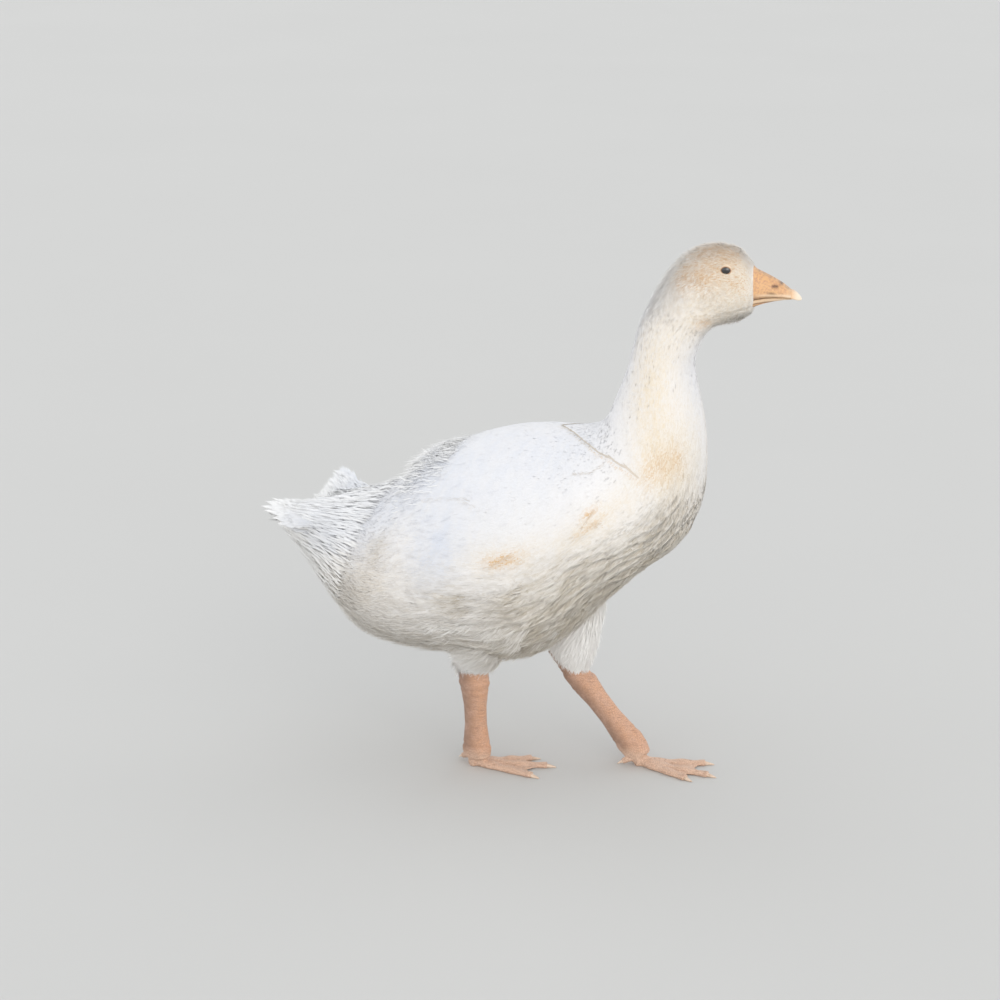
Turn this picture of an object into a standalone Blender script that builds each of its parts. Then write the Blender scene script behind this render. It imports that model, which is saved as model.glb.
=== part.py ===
"""Embden gosling, about six weeks old, as a still life-size model that stands in mid stride.

Metres, +Z up, +X the way the bird faces, +Y its left. The body is one loft of cross-sections, from the
tail's root over the back and breast, up the neck and over the crown to the bill. Thin planes part it into
torso, neck and head. The origin is on the floor, under the middle of the model.
"""

import math

import bpy
import numpy as np

MM = 0.001
GAP = 0.3 * MM

# The body's cross-sections in millimetres: the point on the back line (x, z), the point on the belly line
# (x, z) and the half width. Here x is 0 over the right ankle.
SECTIONS = np.array([
    (-150, 291, -203, 196, 48),
    (-118, 301, -167, 164, 76),
    (-86, 321, -133, 136, 97),
    (-52, 350, -88, 126, 109),
    (-11, 369, -38, 124, 116),
    (30, 381, 16, 119, 117),
    (65, 386, 62, 130, 114),
    (93, 387, 103, 162, 107),
    (113, 390, 140, 202, 98),
    (126, 396, 177, 236, 88),
    (134, 405, 213, 268, 77),
    (139, 416, 234, 310, 67),
    (144, 429, 238, 355, 57),
    (149, 443, 236, 396, 49),
    (155, 460, 229, 432, 42),
    (160, 482, 224, 460, 37),
    (166, 505, 228, 482, 35),
    (177, 529, 236, 498, 34),
    (189, 551, 246, 507, 34),
    (204, 572, 257, 510, 33),
    (222, 586, 266, 512, 32),
    (245, 591, 274, 516, 30.3),
    (266, 588, 281, 520, 27),
    (279, 576, 284, 526, 21.5),
    (285, 567.5, 285, 528.5, 16),
], float) * MM
TAIL_ROOT, NECK_ROOT, NECK_MIDDLE, HEAD_ROOT, BILL_ROOT = 0, 11.5, 14.5, 17.5, 24
# The tail's core behind them, drawn the same way.
TAIL_STATIONS = np.array([
    (-170, 282, -215, 216, 46),
    (-186, 275, -224, 236, 43),
    (-202, 268, -228, 250, 37),
    (-214, 264, -226, 257, 28),
], float) * MM
BELLY_FULLNESS = 0.10
# The body's place over the feet: forward and up.
BODY_PLACE = np.array([10, 0, 9]) * MM
BODY_AROUND, BODY_STEP = 32, 0.5
MIDDLE_X = 48 * MM

# Feathers: thickness at the quill and at the edges, and the camber as a share of the half width.
QUILL, EDGE, CAMBER = 1.0 * MM, 0.6 * MM, 0.10
# Tail feathers lie in a fan over the core. Its tips run from the tail's right corner to its left one, and
# the middle ones are the shortest.
FAN_ROOT, FAN_HALF = np.array([-164, 9, 268]) * MM, 30 * MM
FAN_TIPS = np.array([
    (-221, -48, 267),
    (-250, -24, 281),
    (-202, 14, 269),
    (-197, 42, 281),
    (-194, 64, 298),
], float) * MM
TAIL_TIERS = (
    dict(count=12, start=0.10, reach=1.00, half=11 * MM, lift=0, tilt=0.16),
    dict(count=9, start=0.02, reach=0.66, half=14 * MM, lift=4 * MM, tilt=0.14),
    dict(count=7, start=0.18, reach=0.84, half=14 * MM, lift=-9 * MM, tilt=0.08),
)
# Wing feathers lie in rows along the wing, which runs from the shoulder to beyond the rump.
WING_FROM, WING_TO = 10.2, 3.3
WING_THICKNESS, WING_CLEAR = 10 * MM, 0.9 * MM
WING_ROWS = (
    dict(count=8, start=0.72, reach=0.34, half=14 * MM),
    dict(count=7, start=0.46, reach=0.34, half=16 * MM),
    dict(count=5, start=0.20, reach=0.34, half=19 * MM),
)

# The head is turned a little to the left about an upright axis through the neck, and so is the tail.
HEAD_TURN, HEAD_AXIS_X = math.radians(10), 195 * MM
HEAD_TURN_FROM_Z, HEAD_TURN_TO_Z = 420 * MM, 520 * MM
TAIL_TURN, TAIL_AXIS_X, TAIL_TURN_LENGTH = math.radians(-10), -110 * MM, 90 * MM

# Bill: stations along its length, with the culmen, the line of the mouth and the half width.
BILL_X = np.array([285.4, 295, 304, 313, 321]) * MM
CULMEN_Z = np.array([567.5, 564.5, 561, 557, 551.5]) * MM
MOUTH_Z = np.array([538, 539.5, 540, 539.8, 538.8]) * MM
BILL_HALF = np.array([15.5, 13.8, 12.3, 11, 9.2]) * MM
NAIL_LENGTH = 14 * MM
NOSTRIL = (305.5 * MM, 552 * MM)

EYE_RADIUS = 7.2 * MM
EYE = (256 * MM, 22.4 * MM, 566.5 * MM)

# Legs, the right one under the body and the left one stepping ahead. A thigh is a row of stations in
# millimetres from inside the body to the hock: middle (x, y, z), half length and half width.
LEGS = {
    "right": dict(side=-1, ankle=(0, -18, 20), toe_out=-15.5, thigh=np.array([
        (38, -62, 205, 42, 34),
        (31, -57, 170, 39, 34),
        (21, -50, 142, 33, 29),
        (13, -42, 125, 25, 20),
        (4, -37, 113, 17, 13),
    ], float) * MM),
    "left": dict(side=1, ankle=(157, 47, 26), toe_out=-8, thigh=np.array([
        (80, 64, 210, 42, 34),
        (84, 60, 180, 38, 33),
        (84.5, 56, 148, 34, 29),
        (86, 53, 118, 26, 21),
        (91, 51, 100, 17, 13),
    ], float) * MM),
}
SHANK_HALF = (11.8 * MM, 9 * MM)
TOE_LENGTH = {"inner": 62 * MM, "middle": 78 * MM, "outer": 70 * MM}
TOE_ANGLE = {"inner": -16, "middle": 2, "outer": 27}
TOE_HEIGHT, TOE_HALF = 8.5 * MM, 7.5 * MM
CLAW_LENGTH = 10 * MM

WHITE, CREAM = (0.86, 0.86, 0.86), (0.88, 0.80, 0.68)
ORANGE, PINK, HORN, BLACK = (0.80, 0.42, 0.22), (0.78, 0.48, 0.34), (0.82, 0.74, 0.66), (0.02, 0.02, 0.02)


def ease(t):
    """0 to 1 with a soft start and end."""
    t = np.clip(t, 0, 1)
    return t * t * (3 - 2 * t)


def through(rows, t):
    """A smooth curve through rows, which are one unit of t apart (Catmull-Rom)."""
    rows = np.asarray(rows, float)
    t = np.asarray(t, float)
    i = np.clip(t.astype(int), 0, len(rows) - 2)
    f = (t - i)[..., None]
    padded = np.concatenate([2 * rows[:1] - rows[1:2], rows, 2 * rows[-1:] - rows[-2:-1]])
    a, b, c, d = (padded[i + k] for k in range(4))
    return b + 0.5 * f * (c - a + f * (2 * a - 5 * b + 4 * c - d + f * (3 * (b - c) + d - a)))


def turned(points, axis_x, angle):
    """Points turned by an angle, which may differ from point to point, about the upright axis at axis_x."""
    x, y = points[..., 0] - axis_x, points[..., 1]
    c, s = np.cos(angle), np.sin(angle)
    return np.stack([axis_x + x * c - y * s, x * s + y * c, points[..., 2]], -1)


def posed(points):
    """The straight bird's points with the head and the tail turned."""
    head = ease((points[..., 2] - HEAD_TURN_FROM_Z) / (HEAD_TURN_TO_Z - HEAD_TURN_FROM_Z))
    points = turned(points, HEAD_AXIS_X, HEAD_TURN * head)
    tail = ease((TAIL_AXIS_X - points[..., 0]) / TAIL_TURN_LENGTH)
    return turned(points, TAIL_AXIS_X, TAIL_TURN * tail) + BODY_PLACE


def straight_body(s, around):
    """The body's surface before it is posed. s counts cross-sections and around is 0 on the back line."""
    s, around = np.broadcast_arrays(np.asarray(s, float), np.asarray(around, float))
    row = through(SECTIONS, s)
    back, belly, half = row[..., 0:2], row[..., 2:4], row[..., 4]
    up = np.cos(around)
    across = half * np.sin(around) * (1 - BELLY_FULLNESS * up)
    middle = (back + belly) / 2 + up[..., None] * (back - belly) / 2
    return np.stack([middle[..., 0], across, middle[..., 1]], -1)


def body(s, around, out=0.0):
    """The posed body's surface, moved outwards by out."""
    step = 1e-3
    here = posed(straight_body(s, around))
    along = posed(straight_body(s + step, around)) - posed(straight_body(s - step, around))
    turn = posed(straight_body(s, around + step)) - posed(straight_body(s, around - step))
    normal = np.cross(along, turn)
    normal /= np.linalg.norm(normal, axis=-1, keepdims=True)
    return here + normal * np.asarray(out)[..., None]


def unit(v):
    v = np.asarray(v, float)
    return v / np.linalg.norm(v)


def material(name, colour, roughness):
    """A plain surface of one colour."""
    made = bpy.data.materials.new(name)
    made.use_nodes = True
    shader = made.node_tree.nodes["Principled BSDF"]
    shader.inputs["Base Color"].default_value = (*colour, 1.0)
    shader.inputs["Roughness"].default_value = roughness
    shader.inputs["Metallic"].default_value = 0.0
    return made


def add_object(name, mesh):
    """An object of this mesh, in the gosling's collection and frame."""
    made = bpy.data.objects.new(name, mesh)
    PARTS.objects.link(made)
    made.parent = ROOT
    return made


def solid(name, points, faces):
    """A closed body with its faces turned outwards."""
    mesh = bpy.data.meshes.new(name)
    mesh.from_pydata([tuple(p) for p in points], [], faces)
    a, b, c = (np.array([points[f[k]] for f in faces]) for k in range(3))
    if np.einsum("ij,ij->i", a, np.cross(b, c)).sum() < 0:
        mesh.flip_normals()
    mesh.update()
    return add_object(name, mesh)


def loft(name, rings):
    """A closed body through rings of equally many points, with a fan over each end."""
    rings = np.asarray(rings, float)
    count, around = rings.shape[:2]
    points = np.concatenate([rings.reshape(-1, 3), [rings[0].mean(0), rings[-1].mean(0)]])
    faces = []
    for i in range(count - 1):
        for j in range(around):
            a, b = i * around + j, i * around + (j + 1) % around
            faces += [(a, b, b + around), (a, b + around, a + around)]
    first, last = count * around, count * around + 1
    for j in range(around):
        k = (j + 1) % around
        faces += [(k, j, first), ((count - 1) * around + j, (count - 1) * around + k, last)]
    return solid(name, points, faces)


def sheet(name, top, bottom):
    """A closed thin body between two grids of points that face each other."""
    rows, columns = top.shape[:2]
    points = np.concatenate([top.reshape(-1, 3), bottom.reshape(-1, 3)])
    under = rows * columns
    faces = []
    for i in range(rows - 1):
        for j in range(columns - 1):
            a = i * columns + j
            b, c, d = a + 1, a + columns + 1, a + columns
            faces += [(a, b, c), (a, c, d)]
            faces += [(under + c, under + b, under + a), (under + d, under + c, under + a)]
    rim = list(range(columns))
    rim += [i * columns + columns - 1 for i in range(1, rows)]
    rim += [(rows - 1) * columns + j for j in range(columns - 2, -1, -1)]
    rim += [i * columns for i in range(rows - 2, 0, -1)]
    for k, a in enumerate(rim):
        b = rim[(k + 1) % len(rim)]
        faces += [(b, a, under + a), (b, under + a, under + b)]
    return solid(name, points, faces)


def ellipsoid(name, centre, radii, segments=16):
    """A ball with three radii on the posed head."""
    theta = np.linspace(0, math.pi, segments // 2 + 1)[1:-1, None]
    phi = np.linspace(0, 2 * math.pi, segments, endpoint=False)[None, :]
    ball = np.stack([np.sin(theta) * np.cos(phi), np.sin(theta) * np.sin(phi), np.cos(theta) + 0 * phi], -1)
    rings = np.asarray(centre) + ball * np.asarray(radii)
    return loft(name, posed(rings))


def baked(target):
    """The object with its modifiers applied, of which only the largest closed surface is kept."""
    bpy.context.view_layer.update()
    graph = bpy.context.evaluated_depsgraph_get()
    mesh = bpy.data.meshes.new_from_object(target.evaluated_get(graph))
    target.modifiers.clear()
    target.data = mesh
    count = len(mesh.vertices)
    label = np.arange(count)
    edges = np.array([e.vertices[:] for e in mesh.edges])
    while True:
        low = np.minimum(label[edges[:, 0]], label[edges[:, 1]])
        new = label.copy()
        np.minimum.at(new, edges[:, 0], low)
        np.minimum.at(new, edges[:, 1], low)
        new = new[new]
        if np.array_equal(new, label):
            break
        label = new
    names, sizes = np.unique(label, return_counts=True)
    if len(names) > 1:
        kept = names[np.argmax(sizes)]
        points = np.array([v.co for v in mesh.vertices])
        place = np.cumsum(label == kept) - 1
        faces = [[int(place[v]) for v in p.vertices] for p in mesh.polygons if label[p.vertices[0]] == kept]
        fresh = bpy.data.meshes.new(mesh.name)
        fresh.from_pydata(points[label == kept].tolist(), [], faces)
        target.data = fresh
    return target


def combine(target, pieces, operation):
    """The target joined with its pieces, or cut by them."""
    group = bpy.data.collections.new(target.name + "_pieces")
    for piece in pieces:
        group.objects.link(piece)
    change = target.modifiers.new("pieces", "BOOLEAN")
    change.operation = operation
    change.operand_type = "COLLECTION"
    change.collection = group
    change.solver = "EXACT"
    bpy.context.view_layer.update()
    baked(target)
    for piece in pieces:
        bpy.data.objects.remove(piece)
    bpy.data.collections.remove(group)
    return target


def finished(made, name, surface, angle=40):
    """The named part with its surface."""
    made.name = name
    made.data.name = name
    made.data.materials.clear()
    made.data.materials.append(surface)
    made.data.shade_smooth()
    made.data.set_sharp_from_angle(angle=math.radians(angle))
    return made


def body_rings(first, last):
    """Rings of the body between two cross-sections, drawn in by half the gap at either end."""
    count = int(round((last - first) / BODY_STEP)) + 1
    s = np.linspace(first, last, count)[:, None]
    around = np.linspace(0, 2 * math.pi, BODY_AROUND, endpoint=False)[None, :]
    rings = body(s, around)
    for end, sign in ((0, 1), (-1, -1)):
        ring = rings[end]
        centre = ring.mean(0)
        normal = unit(np.cross(ring[0] - centre, ring[BODY_AROUND // 4] - centre))
        ahead = rings[1 if end == 0 else -1] - rings[0 if end == 0 else -2]
        normal *= np.sign(normal @ ahead.mean(0))
        rings[end] = ring + sign * normal * GAP / 2
    return rings


def vane(middle, across, up, half, tilt):
    """One feather along its middle line: arched, tilted over its neighbour and round at the tip."""
    t = np.linspace(0, 1, len(middle))[:, None]
    width = half * (0.55 + 0.45 * ease(t * 2)) * (1 - 0.62 * ease((t - 0.7) / 0.3) ** 1.5)
    side = np.array([-1.0, 0.0, 1.0])[None, :]
    rise = width * (tilt * side - CAMBER * np.abs(side))
    thick = QUILL + (EDGE - QUILL) * np.abs(side) + 0 * t
    thick = thick * (1 - 0.25 * t)
    flat = middle[:, None, :] + across[:, None, :] * (width * side)[..., None]
    top = up[:, None, :] * (rise + thick / 2)[..., None]
    bottom = up[:, None, :] * (rise - thick / 2)[..., None]
    return sheet("vane", flat + top, flat + bottom)


def tail_vane(v, tier, raised):
    """One tail feather or covert, at v from -1 at the right corner to 1 at the left one."""
    root = FAN_ROOT + np.array([-2 * MM * abs(v), FAN_HALF * v, 3 * MM * v - 2 * MM * abs(v)])
    tip = through(FAN_TIPS, 2 + 2 * v)
    up = unit([-0.10, -0.25 * v, 1.0])
    t = tier["start"] + (tier["reach"] - tier["start"]) * np.linspace(0, 1, 5)[:, None]
    middle = root + (tip - root) * t + up * (tier["lift"] + raised + 5 * MM * t * (1 - t))
    across = unit(np.cross(tip - root, up)) * (1 if v < 0 else -1)
    return vane(middle, np.tile(across, (5, 1)), np.tile(up, (5, 1)), tier["half"], tier["tilt"])


def tail_solid():
    """The tail: a soft core with a fan of feathers and a tier of coverts over them."""
    around = np.linspace(0, 2 * math.pi, BODY_AROUND, endpoint=False)
    rings = [straight_body(TAIL_ROOT, around)]
    for back_x, back_z, belly_x, belly_z, half in TAIL_STATIONS:
        back, belly = np.array([back_x, back_z]), np.array([belly_x, belly_z])
        middle = (back + belly) / 2 + np.cos(around)[:, None] * (back - belly) / 2
        rings.append(np.stack([middle[:, 0], half * np.sin(around), middle[:, 1]], -1))
    rings = posed(np.array(rings))
    centre = rings[0].mean(0)
    normal = unit(np.cross(rings[0, 0] - centre, rings[0, BODY_AROUND // 4] - centre))
    normal *= np.sign(normal @ (rings[1].mean(0) - centre))
    rings[0] = rings[0] + normal * GAP / 2
    target = loft("tail", rings)
    pieces = []
    for tier in TAIL_TIERS:
        for v in np.linspace(-1, 1, tier["count"]):
            pieces.append(tail_vane(v, tier, 1.3 * MM if 0 <= v < 0.2 else 0.0))
    return combine(target, pieces, "UNION")


def wing_place(u, v):
    """Section number and angle on the wing. u runs from shoulder to tip, v from the upper edge down."""
    near = np.clip(u, 0, 1)
    upper = np.radians(60 - 36 * ease(near * 2.2) - 8 * near ** 3)
    lower = np.radians(93 + 5 * np.sin(math.pi * near) - 30 * near ** 4)
    return WING_FROM + (WING_TO - WING_FROM) * u, upper + (lower - upper) * v


def wing_height(u, v):
    """The wing's outer face over the body."""
    ends = np.sin(math.pi * np.clip(0.05 + 0.92 * u, 0, 1)) ** 0.6
    thin_on_top = 0.15 + 0.85 * ease(v * 1.8)
    return 1.9 * MM + WING_THICKNESS * ends * thin_on_top * np.sin(math.pi * np.clip(v, 0, 1)) ** 0.6


def wing_vane(side, u, v, row, rank):
    """One wing feather, its root sunk in the wing and its tip lying over the next row."""
    t = np.linspace(0, 1, 5)
    reach = row["reach"] * (1 - 0.15 * v)
    along = u + reach * t
    height = wing_height(along, v)
    sunk = WING_CLEAR + (wing_height(u, v) - WING_CLEAR) * 0.5
    lift = 1.6 * MM + (7 * MM * max(0.0, 1 - v / 0.22) if rank == 0 else 0.0)
    out = sunk * (1 - ease(t * 2)) + (np.maximum(height, 3.4 * MM) + lift * t) * ease(t * 2)
    s, around = wing_place(along, v)
    middle = body(s, side * around, out)
    up = body(s, side * around, 1 * MM) - body(s, side * around)
    up /= np.linalg.norm(up, axis=-1, keepdims=True)
    way = np.gradient(middle, axis=0)
    across = np.cross(way, up) * -side
    across /= np.linalg.norm(across, axis=-1, keepdims=True)
    return vane(middle, across, up, row["half"], 0.04 + 0.05 * ease(v * 3))


def wing_solid(side):
    """The small folded wing: a pad on the body's side with rows of feathers."""
    u = np.linspace(0, 1, 13)[:, None]
    v = np.linspace(0, 1, 8)[None, :]
    s, around = wing_place(u, v)
    s, around = np.broadcast_arrays(s, around)
    inner = body(s, side * around, WING_CLEAR)
    outer = body(s, side * around, wing_height(u, v) + 0 * around)
    target = sheet("wing", outer, inner)
    pieces = []
    for rank, row in enumerate(WING_ROWS):
        for v in np.linspace(0.07, 0.93, row["count"]):
            pieces.append(wing_vane(side, row["start"] - 0.22 * v ** 2 * (rank == 0), v, row, rank))
    return combine(target, pieces, "UNION")


def oval_ring(centre, axis, front, half, around=16):
    """A ring about a centre, square to the axis, with one half width to the front and one to the side."""
    axis = unit(axis)
    ahead = unit(front - axis * (front @ axis))
    across = np.cross(axis, ahead)
    angle = np.linspace(0, 2 * math.pi, around, endpoint=False)[:, None]
    return centre + ahead * half[0] * np.cos(angle) + across * half[1] * np.sin(angle)


def leg_line(leg):
    """The hock, the ankle and the way from one to the other."""
    hock, ankle = leg["thigh"][-1, :3], np.array(leg["ankle"]) * MM
    return hock, ankle, unit(ankle - hock)


def thigh_solid(leg, extra=0.0):
    """The feathered thigh from inside the body to just above the hock."""
    rows = through(leg["thigh"], np.linspace(0, len(leg["thigh"]) - 1, 9))
    axis = np.array([0, 0, -1.0])
    rings = [oval_ring(row[:3], axis, np.array([1.0, 0, 0]), row[3:] + extra, 20) for row in rows]
    rings[0] = rings[0] - axis * extra
    rings[-1] = rings[-1] + axis * extra
    return loft("thigh", rings)


def shank_solid(leg):
    """The bare shank from the hock to the ankle."""
    hock, ankle, axis = leg_line(leg)
    upright = np.array([0, 0, -1.0])
    start = hock + upright * GAP
    rings = []
    for t, size in ((0, 1.3), (0.08, 1.36), (0.2, 1.2), (0.4, 1.02), (0.65, 1.0), (0.85, 1.15), (1, 1.3)):
        centre = start + (ankle - start) * t
        lean = unit(upright * (1 - ease(t * 4)) + axis * ease(t * 4))
        rings.append(oval_ring(centre, lean, np.array([1.0, 0, 0]), [h * size for h in SHANK_HALF]))
    return loft("shank", rings)


def foot_frame(leg):
    """The foot's middle on the floor, and the way that a toe of a given name points."""
    hock, ankle, axis = leg_line(leg)
    middle = ankle + axis * (ankle[2] - 9 * MM) / -axis[2]
    middle[2] = 0

    def way(name):
        angle = math.radians(leg["side"] * (TOE_ANGLE[name] + leg["toe_out"]))
        return np.array([math.cos(angle), math.sin(angle), 0])
    return middle, way


def toe_ring(place, way, half, height, floor=0.0):
    """A flat-soled, round-topped ring across a toe."""
    angle = np.radians([-50, -10, 25, 58, 90, 122, 155, 190, 230])
    across = np.cross([0, 0, 1], way)
    y, z = np.cos(angle), 0.42 + 0.58 * np.sin(angle)
    z[[0, -1]] = 0
    y[0], y[-1] = 0.7, -0.7
    return place + across * half * y[:, None] + np.array([0, 0, 1.0]) * (floor + height * z[:, None])


def toe_solid(middle, way, length):
    """One toe with a swelling at each of its joints."""
    rings = []
    for t in np.linspace(0, 1, 7):
        swell = 1 + 0.10 * math.cos(t * 6 * math.pi)
        half = (TOE_HALF + (4.4 * MM - TOE_HALF) * t) * swell
        height = (TOE_HEIGHT + (5.6 * MM - TOE_HEIGHT) * t ** 0.7) * swell
        place = middle + way * (t * length - (5 * MM + 0.03 * length) * (1 - t))
        rings.append(toe_ring(place, way, half, height))
    return loft("toe", rings)


def claw_solid(end, way):
    """One blunt claw that narrows ahead of a toe's end."""
    rings = []
    for t in np.linspace(0, 1, 4):
        half = 2.9 * MM * (1 - 0.82 * t ** 1.4)
        height = 4.2 * MM * (1 - 0.80 * t ** 1.2)
        rings.append(toe_ring(end + way * (GAP + t * CLAW_LENGTH), way, half, height, 0.4 * MM))
    return loft("claw", rings)


def web_solid(middle, way_a, way_b, length_a, length_b):
    """The skin between two toes, with a hollow front edge."""
    across = np.linspace(0, 1, 6)[None, :, None]
    along = np.linspace(0.12, 1, 6)[:, None, None]
    way = way_a * (1 - across) + way_b * across
    way = way / np.linalg.norm(way, axis=-1, keepdims=True)
    reach = (length_a * (1 - across) + length_b * across) * (0.93 - 0.20 * np.sin(math.pi * across))
    flat = middle + way * reach * along
    up = np.array([0, 0, 1.0])
    return sheet("web", flat + up * 3.1 * MM, flat + up * 0.9 * MM)


def foot_solid(leg):
    """The foot with its three webbed toes, its raised hind toe and the ankle."""
    hock, ankle, axis = leg_line(leg)
    middle, way = foot_frame(leg)
    rings = [oval_ring(ankle + axis * GAP, axis, np.array([1.0, 0, 0]), [h * 1.3 for h in SHANK_HALF])]
    reach = (ankle[2] - 9 * MM) / -axis[2]
    for part, size in ((0.5, 1.2), (1, 0.9)):
        place = ankle + axis * reach * part
        rings.append(oval_ring(place, axis, np.array([1.0, 0, 0]), [h * size for h in SHANK_HALF]))
    target = loft("foot", rings)
    pieces = [toe_solid(middle, way(name), TOE_LENGTH[name]) for name in TOE_LENGTH]
    for a, b in (("inner", "middle"), ("middle", "outer")):
        pieces.append(web_solid(middle, way(a), way(b), TOE_LENGTH[a], TOE_LENGTH[b]))
    start, end, back = hind_toe(leg)
    rings = []
    for t in np.linspace(0, 1, 5):
        place = start + (end - start) * t
        half = [(4.6 - 1.4 * t) * MM, (4.2 - 1.2 * t) * MM]
        rings.append(oval_ring(place, back, np.array([0, 0, 1.0]), half, 10))
    pieces.append(loft("hind_toe", rings))
    return combine(target, pieces, "UNION")


def hind_toe(leg):
    """Root, end and way of the small raised hind toe."""
    middle = foot_frame(leg)[0]
    root = middle + np.array([-4 * MM, -leg["side"] * 3 * MM, 12 * MM])
    back = unit([-0.86, -leg["side"] * 0.30, -0.38])
    return root, root + back * 19 * MM, back


def hind_claw_solid(leg):
    """The hind toe's claw."""
    start, end, back = hind_toe(leg)
    rings = []
    for t in np.linspace(0, 1, 5):
        place = end + back * GAP + back * t * 6 * MM + np.array([0, 0, -0.6 * MM]) * t * t
        rings.append(oval_ring(place, back, np.array([0, 0, 1.0]), [2.2 * MM * (1 - 0.8 * t)] * 2, 10))
    return loft("hind_claw", rings)


def bill_ring(x, top, base, half):
    """A ring across the bill between its top and its flat base. A top below the base turns it over."""
    angle = np.linspace(0, math.pi, 13)
    y = half * np.sign(np.cos(angle)) * np.abs(np.cos(angle)) ** 0.75
    z = base + (top - base) * np.sin(angle) ** 0.9
    flat = np.linspace(-half, half, 7)[1:-1]
    y, z = np.append(y, flat), np.append(z, np.full(5, base))
    return np.stack([np.full(len(y), x), y, z], -1)


def along_bill(values, x):
    return float(np.interp(x, BILL_X, values))


def bill_upper_solid():
    """The upper half of the bill with its two nostrils."""
    xs = np.linspace(BILL_X[0], BILL_X[-1] - GAP / 2, 9)
    rings = []
    for x in xs:
        top, base, half = along_bill(CULMEN_Z, x), along_bill(MOUTH_Z, x), along_bill(BILL_HALF, x)
        rings.append(bill_ring(x, top, base, half))
    target = loft("bill", posed(np.array(rings)))
    cutters = []
    for side in (-1, 1):
        centre = (NOSTRIL[0], side * 11.2 * MM, NOSTRIL[1])
        cutters.append(ellipsoid("nostril", centre, (5 * MM, 3.2 * MM, 1.7 * MM), 12))
    return combine(target, cutters, "DIFFERENCE")


def nail_solid():
    """The horny nail at the bill's tip, which hooks over the lower half."""
    rings = []
    start = BILL_X[-1] + GAP / 2
    for t in (0, 0.25, 0.5, 0.75, 0.92, 1):
        x = start + NAIL_LENGTH * t
        half = BILL_HALF[-1] * math.sqrt(max(1 - t * t, 0.03))
        top = CULMEN_Z[-1] - 11.5 * MM * t ** 1.6
        base = MOUTH_Z[-1] - 3.2 * MM * ease(t * 1.1)
        rings.append(bill_ring(x, top, base, half))
    return loft("nail", posed(np.array(rings)))


def bill_lower_solid():
    """The lower half of the bill."""
    rings = []
    start, end = BILL_X[0], BILL_X[-1] + 4 * MM
    for t in np.linspace(0, 1, 8):
        x = start + (end - start) * t
        top = along_bill(MOUTH_Z, x) - GAP - 0.1 * MM - 2.6 * MM * ease((t - 0.8) * 3)
        half = (along_bill(BILL_HALF, x) - 1.2 * MM) * (1 - 0.6 * ease((t - 0.75) * 3))
        depth = (9.5 - 5 * t ** 1.3) * MM
        rings.append(bill_ring(x, top - depth, top, half))
    return loft("bill_lower", posed(np.array(rings)))


def head_solid():
    """The head with its lids and the hollows for the eyes."""
    target = loft("head", body_rings(HEAD_ROOT, BILL_ROOT))
    lids, cutters = [], []
    for side in (-1, 1):
        centre = (EYE[0], side * EYE[1], EYE[2])
        radii = (EYE_RADIUS + 1.2 * MM, EYE_RADIUS - 0.9 * MM, EYE_RADIUS - 0.2 * MM)
        lids.append(ellipsoid("lid", centre, radii, 14))
        cutters.append(ellipsoid("socket", centre, [EYE_RADIUS + GAP] * 3, 16))
    combine(target, lids, "UNION")
    return combine(target, cutters, "DIFFERENCE")


def build():
    """All the named parts."""
    plumage = material("plumage", WHITE, 0.9)
    down = material("cream_down", CREAM, 0.9)
    bill_skin = material("bill_skin", ORANGE, 0.45)
    leg_skin = material("leg_skin", PINK, 0.55)
    horn = material("horn", HORN, 0.4)
    eye_black = material("eye_black", BLACK, 0.05)

    torso = loft("torso", body_rings(TAIL_ROOT, NECK_ROOT))
    for leg in LEGS.values():
        combine(torso, [thigh_solid(leg, GAP)], "DIFFERENCE")
    finished(torso, "torso", plumage)
    finished(loft("neck", body_rings(NECK_ROOT, NECK_MIDDLE)), "neck_lower", down)
    finished(loft("neck", body_rings(NECK_MIDDLE, HEAD_ROOT)), "neck_upper", down)
    finished(head_solid(), "head", down)
    finished(tail_solid(), "tail", plumage)
    finished(bill_upper_solid(), "bill_upper", bill_skin)
    finished(nail_solid(), "bill_nail", horn)
    finished(bill_lower_solid(), "bill_lower", bill_skin)
    for name, leg in LEGS.items():
        side, (middle, way) = leg["side"], foot_frame(leg)
        eye = ellipsoid("eye", (EYE[0], side * EYE[1], EYE[2]), [EYE_RADIUS] * 3, 16)
        finished(eye, "eye_" + name, eye_black, 80)
        finished(wing_solid(side), "wing_" + name, plumage)
        finished(thigh_solid(leg), "thigh_" + name, plumage)
        finished(shank_solid(leg), "shank_" + name, leg_skin)
        finished(foot_solid(leg), "foot_" + name, leg_skin)
        for toe, length in TOE_LENGTH.items():
            claw = claw_solid(middle + way(toe) * length, way(toe))
            finished(claw, "claw_" + toe + "_" + name, horn)
        finished(hind_claw_solid(leg), "claw_hind_" + name, horn)


for old in list(bpy.data.objects):
    bpy.data.objects.remove(old)
PARTS = bpy.data.collections.new("embden_gosling")
bpy.context.scene.collection.children.link(PARTS)
ROOT = bpy.data.objects.new("gosling", None)
ROOT.location = (-MIDDLE_X, 0, 0)
PARTS.objects.link(ROOT)
build()
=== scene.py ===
# %% [markdown]
# # An embden gosling in mid stride
# A young white goose, about six weeks old, stands on its right foot and sets the left one ahead. The real bird
# is flesh under a coat of short white down, with a waxy orange bill and scaly orange legs. The plan: load the
# measured frame, work the body out as one smooth surface, lay a skin inside it, and grow a coat over the skin
# from many thin tufts, each a tiny closed lock made by numpy. Bill, eyes and legs are bare and come last.

# %% Frame and size
import math

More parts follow.
